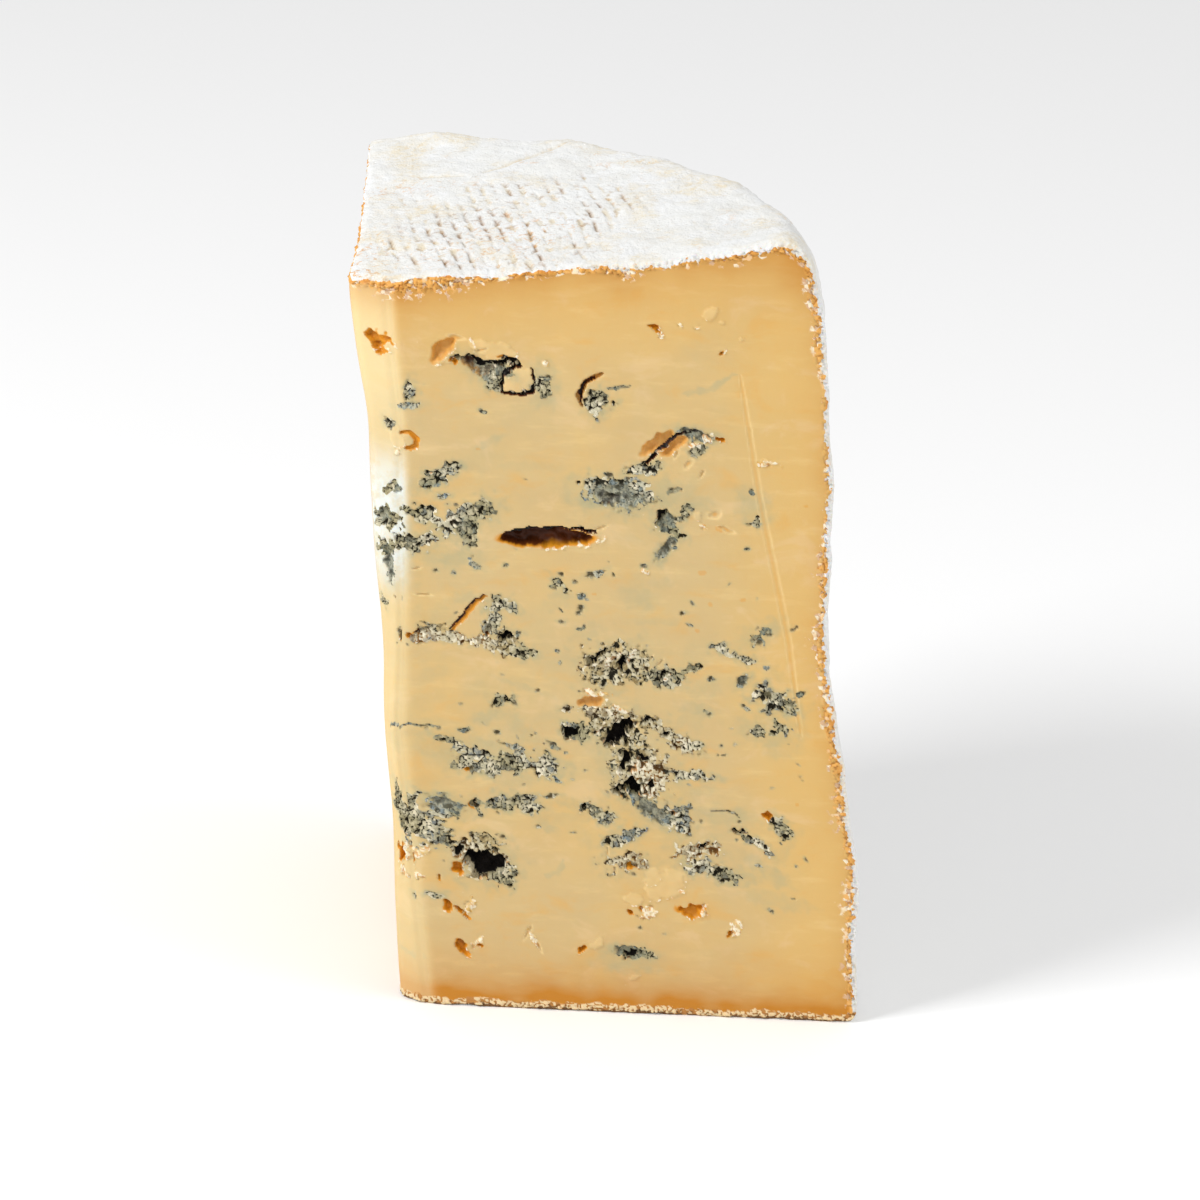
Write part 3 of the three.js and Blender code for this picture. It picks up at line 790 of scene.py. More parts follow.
def chance_marks(rng, low, high, bottom, top):
    """Chance marks for a cut face between two places along it: bands of crust and flecks
    that run level, hollows inside them, and eyes in the bare paste."""
    marks = []
    for band in range(16):
        level = bottom + 14 + (top - bottom - 40) * (band + rng.uniform(0, 1)) / 16
        middle = rng.uniform(low + 10, high - 8)
        slope = rng.uniform(-9, 9)
        reach = rng.uniform(7, 17)
        for _ in range(rng.integers(5, 11)):
            step = rng.uniform(-reach, reach)
            along = np.clip(middle + step, low + 4, high - 2)
            up = level + step * math.tan(math.radians(slope)) + rng.normal(0, 1.3)
            kind = rng.choice(["crust", "crumble", "fleck", "velvet", "cave", "haze"],
                              p=[0.46, 0.11, 0.18, 0.08, 0.09, 0.08])
            length = rng.uniform(2.2, 7.5) * (0.5 if kind in ("fleck", "cave") else 1)
            height = length * rng.uniform(0.25, 0.55)
            marks.append((kind, along, up, length, height, slope + rng.normal(0, 18)))
    for _ in range(3):
        along, up = rng.uniform(low + 14, high - 10), rng.uniform(bottom + 20, top - 50)
        marks.append(("cave", along, up, rng.uniform(5, 8), rng.uniform(2.4, 4.2),
                      rng.uniform(-30, 30)))
        for _ in range(4):
            marks.append((rng.choice(["crust", "crumble"]), along + rng.normal(0, 3),
                          up + rng.normal(0, 2.4), rng.uniform(3, 6.5), rng.uniform(1.4, 3),
                          rng.uniform(-40, 40)))
    for kind, count, small, large in (("eye", 11, 1.2, 4.2), ("scrape", 9, 1.8, 4.5),
                                      ("curd", 12, 1.2, 4.5), ("fleck", 40, 0.7, 2.0),
                                      ("dot", 9, 0.8, 1.8)):
        for _ in range(count):
            length = rng.uniform(small, large)
            marks.append((kind, rng.uniform(low + 3, high - 3), rng.uniform(bottom, top),
                          length, length * rng.uniform(0.3, 0.75), rng.uniform(-70, 70)))
    marks.append(("crack", low + 0.55 * (high - low), bottom + 0.66 * (top - bottom), 15, 2.8, -6))
    return marks


# ---------------------------------------------------------------------- the rough surface


class Surface:
    """Where every point of the skin ends up, and the masks that its paint reads."""

    # how far the rough rind and the cut reach, and how far their shared edge is rolled in
    NEAR_RIND = 1.6
    NEAR_CUT = 1.3
    ROLL = 0.45
    # how far from an edge of the nose its two faces start to move together
    NEAR_ARRIS = 3
    # the print of the mat: its turn, the pitch of its ribs and of the laces across them
    MAT_TURN = math.radians(12)
    MAT_RIB = 2.5
    MAT_LACE = 6.2
    # the pitch of the hoops printed in the side
    HOOP = 4.6
    # small chance marks of the broad face
    SCATTERED_FLECKS = 90
    SCATTERED_HAZES = 60
    # how deep the crumbs under the rind reach, by distance from the axis and by height
    CRUMBS_TOP = ((0, 1.6), (8, 2.4), (17, 2.7), (24, 1.5), (40, 1.2), (52, 2.0), (66, 1.7),
                  (78, 2.5))
    CRUMBS_RIM = ((0, 1.7), (20, 1.6), (60, 2.2), (92, 1.8), (104, 0.9), (122, 1.0), (131, 1.9),
                  (142, 2.4), (152, 1.8))

    def __init__(self, skin, seed):
        self.skin = skin
        self.wedge = skin.wedge
        self.seed = seed
        self.plain = skin.flat
        self.measure()
        self.cut = np.zeros(len(self.plain), bool)
        for name in ("front", "nose", "side"):
            numbers = skin.sheets[name]
            self.cut[numbers[numbers >= 0]] = True
        self.masks = {}
        self.carve_cut_faces()
        self.raise_rind()
        self.place()

    def measure(self):
        """Distances from the top, the side, the cut faces and their edges, and how near the
        paste is to the white bloom, the crumbs under it and the ripe layer."""
        wedge = self.wedge
        x, y, z = self.plain.T
        self.angle = np.arctan2(y, x)
        radius = np.hypot(x, y)
        self.below_top = wedge.top(x, y) - z
        self.inside_rim = wedge.radius + wedge.swell(z) - radius
        corner = wedge.top_edge
        out = np.clip(corner - self.inside_rim, 0, None)
        up = np.clip(corner - self.below_top, 0, None)
        in_corner = (out > 0) & (up > 0)
        reach = np.maximum(np.hypot(out, up), 1e-6)
        self.up_share = np.where(in_corner, up / reach, self.below_top < corner / 2)
        self.out_share = np.where(in_corner, out / reach, self.inside_rim < corner / 2)
        self.under = np.minimum(self.below_top, self.inside_rim)
        self.under = np.clip(np.where(in_corner, corner - reach, self.under), 0, None)
        patch = ripple(self.plain, 9, self.seed + 12, 2)
        white = 0.35 + 0.75 * ease(40, 56, radius + 5 * patch) + 0.15 * patch
        white += (0.75 + 0.2 * patch - white) * ease(6, 2, self.inside_rim)
        self.whiteness = self.under / white
        crumbs_top = smooth_track(radius, *zip(*self.CRUMBS_TOP))
        crumbs_rim = smooth_track(z, *zip(*self.CRUMBS_RIM))
        reach = crumbs_top + (crumbs_rim - crumbs_top) * ease(6, 2, self.inside_rim)
        self.crumbs = self.under / (reach * (1 + 0.5 * patch))
        nose = bump_at(radius, 3, 11)
        ripe_top = (0.85 + 0.1 * nose) * np.exp(-self.below_top / (4.2 + 2.4 * nose))
        ripe_rim = 0.5 * np.exp(-self.inside_rim / 2.6)
        ripe_base = 1.9 * np.exp(-z / 4.2)
        ripe_corner = 0.95 * bump_at(np.hypot(self.below_top, self.inside_rim), 0, 10)
        self.ripe = 1 - (1 - ripe_top) * (1 - ripe_rim) * (1 - np.clip(ripe_base, 0, 1))
        self.ripe = 1 - (1 - self.ripe) * (1 - ripe_corner)
        self.ripe = self.ripe * (1 + 0.35 * patch)
        self.sway = wedge.sway(self.plain)
        self.radial = np.stack([x, y], axis=1) / np.maximum(radius, 1e-6)[:, None]
        self.side_normal = np.array([-wedge.side_way[1], wedge.side_way[0]])
        self.from_front = y
        self.from_side = -(x * self.side_normal[0] + y * self.side_normal[1])
        chord = wedge.nose_end - wedge.nose_start
        self.nose_way = chord / np.linalg.norm(chord)
        self.nose_normal = np.array([self.nose_way[1], -self.nose_way[0]])
        if self.nose_normal @ wedge.nose_start > 0:
            self.nose_normal = -self.nose_normal
        self.from_nose = -((x - wedge.nose_start[0]) * self.nose_normal[0]
                           + y * self.nose_normal[1])
        nose_along = (x - wedge.nose_start[0]) * self.nose_way[0] + y * self.nose_way[1]
        nose_length = np.linalg.norm(chord)
        on_front = (self.from_front < 1e-6) & (x > wedge.nose_start[0] - 1e-6)
        on_side = (self.from_side < 1e-6) & (y > wedge.nose_end[1] + 1e-6)
        along = wedge.nose_start[0] - np.clip(nose_along, 0, nose_length)
        along = np.where(on_side, wedge.nose_start[0] - nose_length
                         - (radius - np.linalg.norm(wedge.nose_end)), along)
        self.along = np.where(on_front, radius, along)
        self.on_side = on_side
        self.on_front = on_front
        self.nose_length = nose_length
        self.from_first = np.abs(self.along - wedge.nose_start[0])
        self.from_second = np.abs(self.along - wedge.nose_start[0] + nose_length)

    def carve_cut_faces(self):
        """Works out the marks of the cut faces and how far each point is pushed in or out."""
        wedge = self.wedge
        picked = np.flatnonzero(self.cut)
        places = self.plain[picked]
        along = self.along[picked] + np.where(self.on_front[picked], self.sway[picked], 0)
        sheet = CutSheet(along, places[:, 2], places, self.seed)
        for kind, at, up, length, height, tilt in FRONT_MARKS:
            sheet.blot(kind, *on_layers(at, up), length, height, tilt)
        for kind, width, *points in FRONT_LINES:
            sheet.line(kind, width, *(on_layers(*point) for point in points))
        rng = np.random.default_rng(self.seed)
        far = wedge.nose_start[0] - self.nose_length - wedge.radius
        for mark in chance_marks(rng, far, -3, 6, wedge.height - 8):
            sheet.blot(*mark)
        for _ in range(self.SCATTERED_FLECKS):
            sheet.blot("fleck", rng.uniform(4, 78), rng.triangular(15, 50, 115),
                       rng.uniform(0.4, 1.0), rng.uniform(0.3, 0.7), rng.uniform(-60, 60),
                       rng.uniform(0.4, 1))
        for _ in range(self.SCATTERED_HAZES):
            sheet.blot("haze", rng.uniform(2, 76), rng.triangular(15, 60, 118),
                       rng.uniform(2, 8), rng.uniform(0.8, 2.6), rng.normal(0, 25),
                       rng.uniform(0.25, 0.75))

        under = self.under[picked]
        base = places[:, 2]
        bare = ease(1.0, 4.0, np.minimum(under, base))
        channel = sheet.channel
        crust = channel["crust"] * bare
        wall = ease(0.5, 1.5, sheet.hollow)
        dome = 1 - sheet.gap
        missing = (sheet.shade < 0.11) * dome * (1 - wall)
        # ripped rims of holes, raised a little; their pale paint is partly real curd and partly a
        # painted highlight on the lower right
        torn_lit_lips = channel["lip"] * np.clip(0.6 + 1.1 * sheet.tatter, 0, 1.3)
        grain = ripple(places, 0.9, self.seed + 20, 2)
        push = (-sheet.hollow + sheet.raised) * bare + 0.3 * torn_lit_lips
        push += crust * (1 - wall) * (0.42 * dome - 0.32 + 0.36 * (sheet.shade - 0.4)
                                      - 0.9 * missing)
        push += 0.08 * ripple(places, 3.0, self.seed + 22) * (0.3 + channel["haze"])
        fringe = np.maximum(ease(2.2, 1.0, self.whiteness[picked]),
                            ease(1.2, 0.7, self.crumbs[picked]))
        fringe = np.maximum(fringe, ease(1.9, 0.8, base)) * ease(0.05, 0.6, under)
        fringe *= ease(0.05, 0.5, base)
        push += fringe * (0.42 * dome - 0.26 + 0.4 * (sheet.shade - 0.5) + 0.15 * grain)
        from_arris = np.minimum(self.from_first, self.from_second)[picked]
        push -= 0.45 * bump_at(from_arris, 0, 1.1)
        push -= self.ROLL * bump_at(under, 0, 0.7) + 0.35 * bump_at(base, 0, 0.5)
        self.push = self.spread(picked, push)

        for name in ("mould", "haze", "warm", "dark", "velvet", "light"):
            self.masks[name] = self.spread(picked, channel[name] * bare)
        self.masks["crust"] = self.spread(picked, crust)
        gap = np.maximum(sheet.gap, missing)
        self.masks["gap"] = self.spread(picked, gap + (0.45 - gap) * wall)
        self.masks["shade"] = self.spread(picked, sheet.shade + (0.55 - sheet.shade) * wall, 0.5)
        # pale curd, together with the painted highlights of the rims
        pale = np.maximum(channel["pale"], torn_lit_lips) * bare
        self.masks["pale"] = self.spread(picked, np.clip(pale + 0.4 * grain * (pale > 0), 0, 1))
        # the nose and a narrow band along each of its edges, made paler: partly knife wear, partly
        # painted light where the nose faces the lamp and a painted highlight along its edges
        on_nose = ~self.on_front[picked] & ~self.on_side[picked]
        self.masks["worn_and_lit"] = self.spread(
            picked, np.maximum(on_nose * 1.0, bump_at(from_arris, 0, 1.2)))

    def spread(self, picked, values, other=0.0):
        """Puts the values of the picked points among all points."""
        field = np.full(len(self.plain), other, np.float32)
        field[picked] = values
        return field

    def raise_rind(self):
        """Works out the height of the rind: mat print, creases, lumps and loose bloom."""
        x, y, z = self.plain.T
        seed = self.seed + 40
        top = ease(0.2, 0.8, self.up_share) * (self.below_top < self.wedge.top_edge)
        slant = self.MAT_TURN
        wander = ripple(self.plain, 24, seed) * 0.9
        across = x * math.cos(slant) + y * math.sin(slant) + wander
        along = y * math.cos(slant) - x * math.sin(slant)
        rib = np.round(across / self.MAT_RIB)
        from_rib = np.abs(across / self.MAT_RIB - rib)
        lacing = along / self.MAT_LACE + 0.37 * rib + 0.4 * ripple(self.plain, 9, seed + 11)
        from_lace = np.abs(lacing - np.round(lacing))
        stitch = ripple(np.stack([across, 0.3 * along, z], axis=1), 4.5, seed + 7)
        patches = ripple(self.plain, 20, seed + 1, 2)
        printed = np.exp(-((x - 26) / 27) ** 4) * np.exp(-((y - 26) / 28) ** 4)
        clear = ease(-0.3, 0.6, 0.6 * patches + 1.4 * printed - 0.7)
        print_top = clear * top
        dash = ease(0.42, 0.3, from_lace) * ease(-0.55, 0.35, stitch)
        groove = bump_at(from_rib, 0, 0.11) * dash
        thin = ripple(np.stack([across, 0.45 * along, z], axis=1), 2.2, seed + 10, 2)
        faded = bump_at(from_rib, 0.12, 0.22) * ease(0.0, 0.5, thin) * (0.4 + 0.6 * clear) * top
        hoop = bump_at(np.cos(math.pi * (z + 0.8 * wander) / self.HOOP), 0, 0.4)
        print_side = 0.35 * ease(-0.2, 0.9, -patches) * (1 - top)
        cut_in = print_top * groove + print_side * hoop
        crease = np.zeros(len(self.plain))
        for (ax, ay), (bx, by), width, depth in self.creases():
            way = np.array([bx - ax, by - ay])
            length = np.linalg.norm(way)
            way /= length
            px = x - ax + 0.6 * wander
            py = y - ay + 0.4 * wander
            t = np.clip(px * way[0] + py * way[1], 0, length)
            off = np.hypot(px - t * way[0], py - t * way[1])
            taper = 0.5 + 0.5 * np.sqrt(np.clip(4 * t / length * (1 - t / length), 0, 1))
            crease = np.maximum(crease, depth * bump_at(off, 0, width * taper) * top)
        lumps = ripple(self.plain, 11, seed + 2, 2)
        fluff = ripple(self.plain, 2.4, seed + 3, 2)
        fuzz = ripple(self.plain, 1.1, seed + 4, 2)
        pit = ease(0.5, 0.75, ripple(self.plain, 1.6, seed + 9, 2)) * clear * top
        self.lift = -0.5 * cut_in - 0.5 * crease + 0.5 * lumps + 0.14 * fluff + 0.1 * fuzz
        self.lift = self.lift - 0.2 * pit - 0.12 * faded
        low = 0.8 * cut_in + 0.75 * crease + 0.5 * pit + 0.85 * faded
        self.masks["print"] = np.clip(low, 0, 1).astype(np.float32)
        tick = print_top * groove * ease(0.0, 0.5, stitch + 0.2 * fluff) + 0.6 * pit * printed
        self.masks["tick"] = np.clip(tick, 0, 1).astype(np.float32)
        corner = bump_at(x, -1, 6) * bump_at(y, 8, 14)
        corner += 0.35 * bump_at(np.hypot(x - 24, y - 16), 0, 16)
        self.masks["rub"] = (corner * top).astype(np.float32)
        self.masks["under"] = self.under.astype(np.float32)
        self.masks["skin"] = self.whiteness.astype(np.float32)
        self.masks["ember"] = self.crumbs.astype(np.float32)
        self.masks["ripe"] = self.ripe.astype(np.float32)
        self.masks["base"] = z.astype(np.float32)
        edge = ripple(self.plain, 1.5, seed + 5, 2)
        self.frill = np.clip(0.25 + 0.9 * edge, 0, 1.2)

    def creases(self):
        """Folds in the top rind, as ends, width and depth: a few listed and faint ones by
        chance."""
        folds = [((6.9, 57.4), (17.0, 55.4), 0.9, 0.8), ((21.3, 56.9), (40.0, 73.6), 1.0, 1.0),
                 ((51.9, 54.8), (58.0, 59.0), 0.9, 0.8), ((57.0, 38.4), (62.0, 44.4), 0.8, 0.5)]
        rng = np.random.default_rng(self.seed + 60)
        for _ in range(18):
            x, y = rng.uniform(40, 78), rng.uniform(6, 62)
            turn = math.radians(rng.normal(50, 14))
            length = rng.uniform(5, 16)
            folds.append(((x, y), (x + length * math.cos(turn), y + length * math.sin(turn)),
                          rng.uniform(1.0, 2.2), rng.uniform(0.15, 0.45)))
        return folds

    def place(self):
        """Moves every point by the rind's height and by the push of its cut face."""
        wedge = self.wedge
        x, y, z = self.plain.T
        rind_share = np.exp(-(self.under / self.NEAR_RIND) ** 2)
        lift = self.lift * rind_share * ease(0, 4, z)
        moved = np.zeros_like(self.plain)
        moved[:, :2] += (self.radial * (self.out_share * lift)[:, None])
        moved[:, 2] += self.up_share * lift
        frill = self.frill * ease(1.8, 0.2, self.under) * 0.3
        wave = 0.35 * ripple(self.plain, 30, self.seed + 30, 2)
        # near an edge of the nose both faces move along the direction halfway between theirs
        front = np.array([0.0, -1.0])
        side = self.side_normal
        on_nose = self.cut & ~self.on_front & ~self.on_side
        near_first = 0.5 * ease(self.NEAR_ARRIS, 0, self.from_first)[:, None]
        near_second = 0.5 * ease(self.NEAR_ARRIS, 0, self.from_second)[:, None]
        by_face = np.where(self.on_front[:, None], front, side)
        by_face = by_face + (self.nose_normal - by_face) * (near_first + near_second)
        by_nose = (self.nose_normal + (front - self.nose_normal) * near_first
                   + (side - self.nose_normal) * near_second)
        direction = np.where(on_nose[:, None], by_nose, by_face)
        direction /= np.linalg.norm(direction, axis=1)[:, None]
        moved[:, :2] += np.where(self.cut, self.push + frill + wave, 0)[:, None] * direction
        ways = ((front, self.from_front), (side, self.from_side),
                (self.nose_normal, self.from_nose))
        for normal, distance in ways:
            near = np.exp(-(np.clip(distance, 0, None) / self.NEAR_CUT) ** 2)
            edge = near * (frill + wave) - self.ROLL * bump_at(distance, 0, 0.9)
            moved[:, :2] += np.where(self.cut, 0, edge)[:, None] * normal
            rolled = bump_at(np.clip(distance, 0, None), 0, 0.9) * rind_share * ease(0, 4, z)
            moved[:, 2] -= 0.35 * rolled * self.up_share
        dents = 0.35 * np.clip(ripple(self.plain, 5, self.seed + 31, 2), 0, 1)
        moved[:, 2] += (z < 0.5) * dents
        leaning = self.plain.copy()
        leaning[:, 0] += wedge.shift[0] * z
        leaning[:, 1] += wedge.shift[1] * z
        final = leaning + moved
        final[:, 0] += self.sway
        final[:, 2] = np.clip(final[:, 2], 0, None)
        middle = (leaning.min(axis=0) + leaning.max(axis=0)) / 2
        box_middle = [(cad_box[0][k] + cad_box[1][k]) / 2 / MM for k in range(2)]
        final[:, 0] += box_middle[0] - middle[0]
        final[:, 1] += box_middle[1] - middle[1]
        self.final = final


# -------------------------------------------------------------------------- node helpers

# Fixed tints that shade the colours of the settings.
TINTS = {
    "cold white": paint("eaebeb"),
    "beige stain": paint("e4d6b6"),
    "grey patch": paint("d3d0c8"),
    "bare rust": paint("d89a48"),
    "brown tick": paint("95683f"),
    "dust": paint("c4c1b8"),
    "steel mould": paint("8495a0"),
    "dark mould": paint("44483c"),
    "dull smear": paint("c2a473"),
    "knife streak": paint("e6c98c"),
    "golden patch": paint("d9a451"),
    "milky patch": paint("e0c396"),
    # paler nose paste: knife wear, and painted light where the nose faces the lamp
    "worn paste": paint("eedcab"),
    "white film": paint("dbe0da"),
    "smooth paste": paint("eccf96"),
    "dark felt": paint("45473b"),
    "pale felt": paint("9ba094"),
    # painted shade: felt in the shade of a hollow, and near black deep inside hollows
    "shaded felt": paint("17180f"),
    "black hollow": paint("100a07"),
    "golden crumb": paint("e6ab58"),
    # painted shade in the gaps between golden crumbs
    "crumb gap": paint("bb7018"),
    "pale foot": paint("e6cda0"),
    # painted shade in the gaps between the crumbs of the foot
    "brown foot": paint("b88040"),
    # painted shadow along the very bottom
    "foot line": paint("7c5832"),
}


def put(tree, kind, inputs=None, **settings):
    """Adds a node, sets its settings, and links or sets its inputs."""
    node = tree.nodes.new(kind)
    for name, value in settings.items():
        setattr(node, name, value)
    for key, value in (inputs or {}).items():
        if isinstance(value, bpy.types.NodeSocket):
            tree.links.new(value, node.inputs[key])
        elif hasattr(value, "__len__") and len(value) == 3 and node.inputs[key].type == "RGBA":
            node.inputs[key].default_value = (*value, 1)
        else:
            node.inputs[key].default_value = value
    return node


def maths(tree, operation, a, b=0.0, clamp=False):
    """One step of arithmetic."""
    node = put(tree, "ShaderNodeMath", {0: a, 1: b}, operation=operation, use_clamp=clamp)
    return node.outputs[0]


def plus(tree, first, *others):
    """Adds values up."""
    for other in others:
        first = maths(tree, "ADD", first, other)
    return first


def times(tree, first, *others):
    """Multiplies values."""
    for other in others:
        first = maths(tree, "MULTIPLY", first, other)
    return first


def centred(tree, value, amount):
    """A noise value turned into a swing of plus or minus half the amount."""
    return times(tree, maths(tree, "SUBTRACT", value, 0.5), amount)


def blend(tree, factor, a, b, how="MIX"):
    """Mixes two colours."""
    node = put(tree, "ShaderNodeMix", {0: factor, 6: a, 7: b}, data_type="RGBA", blend_type=how)
    return node.outputs[2]


def stretch(tree, value, low, high, to_low=0.0, to_high=1.0, smooth=True):
    """Maps a range of values onto another, with soft ends."""
    node = put(tree, "ShaderNodeMapRange",
               {0: value, 1: low, 2: high, 3: to_low, 4: to_high},
               interpolation_type="SMOOTHSTEP" if smooth else "LINEAR")
    return node.outputs[0]


def mottle(tree, size, detail=2.0, roughness=0.5, scale=(1, 1, 1), warp=0.0):
    """Noise whose patches are about size millimetres across."""
    place = put(tree, "ShaderNodeTexCoord").outputs["Object"]
    if tuple(scale) != (1, 1, 1):
        place = put(tree, "ShaderNodeMapping", {"Vector": place, "Scale": scale}).outputs[0]
    noise = put(tree, "ShaderNodeTexNoise",
                {"Vector": place, "Scale": 1 / (size * MM), "Detail": detail,
                 "Roughness": roughness, "Distortion": warp})
    return noise.outputs["Fac"]


def mask(tree, name):
    """A mask that the mesh carries."""
    return put(tree, "ShaderNodeAttribute", attribute_name=name).outputs["Fac"]


def new_group(name, inputs, outputs):
    """An empty shader node group with named sockets."""
    group = bpy.data.node_groups.new(name, "ShaderNodeTree")
    for label, kind in inputs:
        group.interface.new_socket(label, in_out="INPUT", socket_type=kind)
    for label, kind in outputs:
        group.interface.new_socket(label, in_out="OUTPUT", socket_type=kind)
    return group, group.nodes.new("NodeGroupInput"), group.nodes.new("NodeGroupOutput")


def use_group(tree, group, **inputs):
    """Places a node group and links or sets its inputs."""
    node = tree.nodes.new("ShaderNodeGroup")
    node.node_tree = group
    for key, value in inputs.items():
        if isinstance(value, bpy.types.NodeSocket):
            tree.links.new(value, node.inputs[key])
        else:
            node.inputs[key].default_value = value
    return node


# -------------------------------------------------------------------------- node groups


def bloom_group(colours):
    """White mould: bright powder on the humps, straw and rust in the print of the mat."""
    group, given, made = new_group(
        "White bloom",
        [("Low ground", "NodeSocketFloat"), ("Tick", "NodeSocketFloat"),
         ("Worn", "NodeSocketFloat"), ("Rub", "NodeSocketFloat")],
        [("Color", "NodeSocketColor"), ("Height", "NodeSocketFloat")])
    powder = mottle(group, 0.8, 4, 0.6)
    patch = mottle(group, 7, 3, 0.6)
    speck = mottle(group, 1.6, 3, 0.7, warp=0.6)
    cool = blend(group, stretch(group, patch, 0.35, 0.7), colours["bloom"], TINTS["cold white"])
    low = given.outputs["Low ground"]
    tint = times(
        group, stretch(group, low, 0.2, 1.0), stretch(group, patch, 0.3, 0.62, 0.3, 0.9))
    strawy = blend(group, tint, cool, colours["straw"])
    stain = times(group, stretch(group, mottle(group, 12, 4, 0.6), 0.46, 0.66),
                  stretch(group, speck, 0.4, 0.65, 0.2, 0.75))
    strawy = blend(group, stain, strawy, TINTS["beige stain"])
    grey = stretch(group, mottle(group, 4, 4, 0.7), 0.5, 0.75, 0.0, 0.45)
    strawy = blend(group, grey, strawy, TINTS["grey patch"])
    bare = plus(group, given.outputs["Worn"], times(group, low, 0.4))
    bare = times(group, bare, stretch(group, speck, 0.55, 0.66))
    rubbed = times(group, given.outputs["Rub"], stretch(group, speck, 0.54, 0.64))
    bare = maths(group, "MINIMUM", plus(group, bare, rubbed), 0.85)
    rusty = blend(group, bare, strawy, TINTS["bare rust"])
    tick = times(group, given.outputs["Tick"], stretch(group, speck, 0.3, 0.54, 0.3, 0.8))
    ticked = blend(group, tick, rusty, TINTS["brown tick"])
    dusted = blend(group, stretch(group, powder, 0.35, 0.65, 0.05, 0.0), ticked, TINTS["dust"])
    group.links.new(dusted, made.inputs["Color"])
    group.links.new(centred(group, powder, 0.32), made.inputs["Height"])
    return group


def crumb_group(colours):
    """Loose crumbs: each takes its shade from the mesh, and the gaps between them are dark, partly
    with dark mould and partly with painted shade.
    """
    group, given, made = new_group(
        "Crumbs",
        [("Mould", "NodeSocketFloat"), ("Shade", "NodeSocketFloat"), ("Gap", "NodeSocketFloat")],
        [("Color", "NodeSocketColor"), ("Height", "NodeSocketFloat")])
    grain = mottle(group, 0.5, 3, 0.65)
    stain = mottle(group, 8, 2, 0.5)
    shade = plus(group, given.outputs["Shade"], centred(group, grain, 1.1))
    pale = blend(group, stretch(group, shade, 0.2, 0.5), colours["cream"], colours["ash"])
    steel = stretch(group, mottle(group, 13, 2, 0.5), 0.5, 0.62)
    slate = blend(group, steel, colours["slate"], TINTS["steel mould"])
    blue = blend(group, stretch(group, shade, 0.64, 0.9), pale, slate)
    blue = blend(group, stretch(group, shade, 0.92, 1.15), blue, TINTS["dark mould"])
    mossy = stretch(group, stain, 0.36, 0.6, 0.1, 0.75)
    tinted = blend(group, mossy, blue, colours["moss"], "MULTIPLY")
    clean = blend(group, stretch(group, shade, 0.25, 0.8), colours["cream"], colours["butter"])
    mould = given.outputs["Mould"]
    crumb = blend(group, mould, clean, tinted)
    damp = plus(group, mould, centred(group, stain, 1.4))
    gap = blend(group, stretch(group, damp, 0.0, 0.8), colours["amber"], colours["ink"])
    # painted shade: the gap colour, partly dark mould, laid deeper where the gaps between the
    # crumbs are
    depth = plus(group, given.outputs["Gap"], centred(group, grain, 0.9))
    depth = stretch(group, depth, 0.36, 0.78)
    depth = times(group, depth, stretch(group, mould, 0, 0.7, 0.55, 0.95))
    group.links.new(blend(group, depth, crumb, gap), made.inputs["Color"])
    group.links.new(centred(group, grain, 0.35), made.inputs["Height"])
    return group


# ----------------------------------------------------------------------------- materials


def new_material(name):
    """An empty material with its shader."""
    material = bpy.data.materials.new(name)
    material.use_nodes = True
    tree = material.node_tree
    tree.nodes.clear()
    shader = tree.nodes.new("ShaderNodeBsdfPrincipled")
    out = tree.nodes.new("ShaderNodeOutputMaterial")
    tree.links.new(shader.outputs[0], out.inputs["Surface"])
    return material, tree, shader


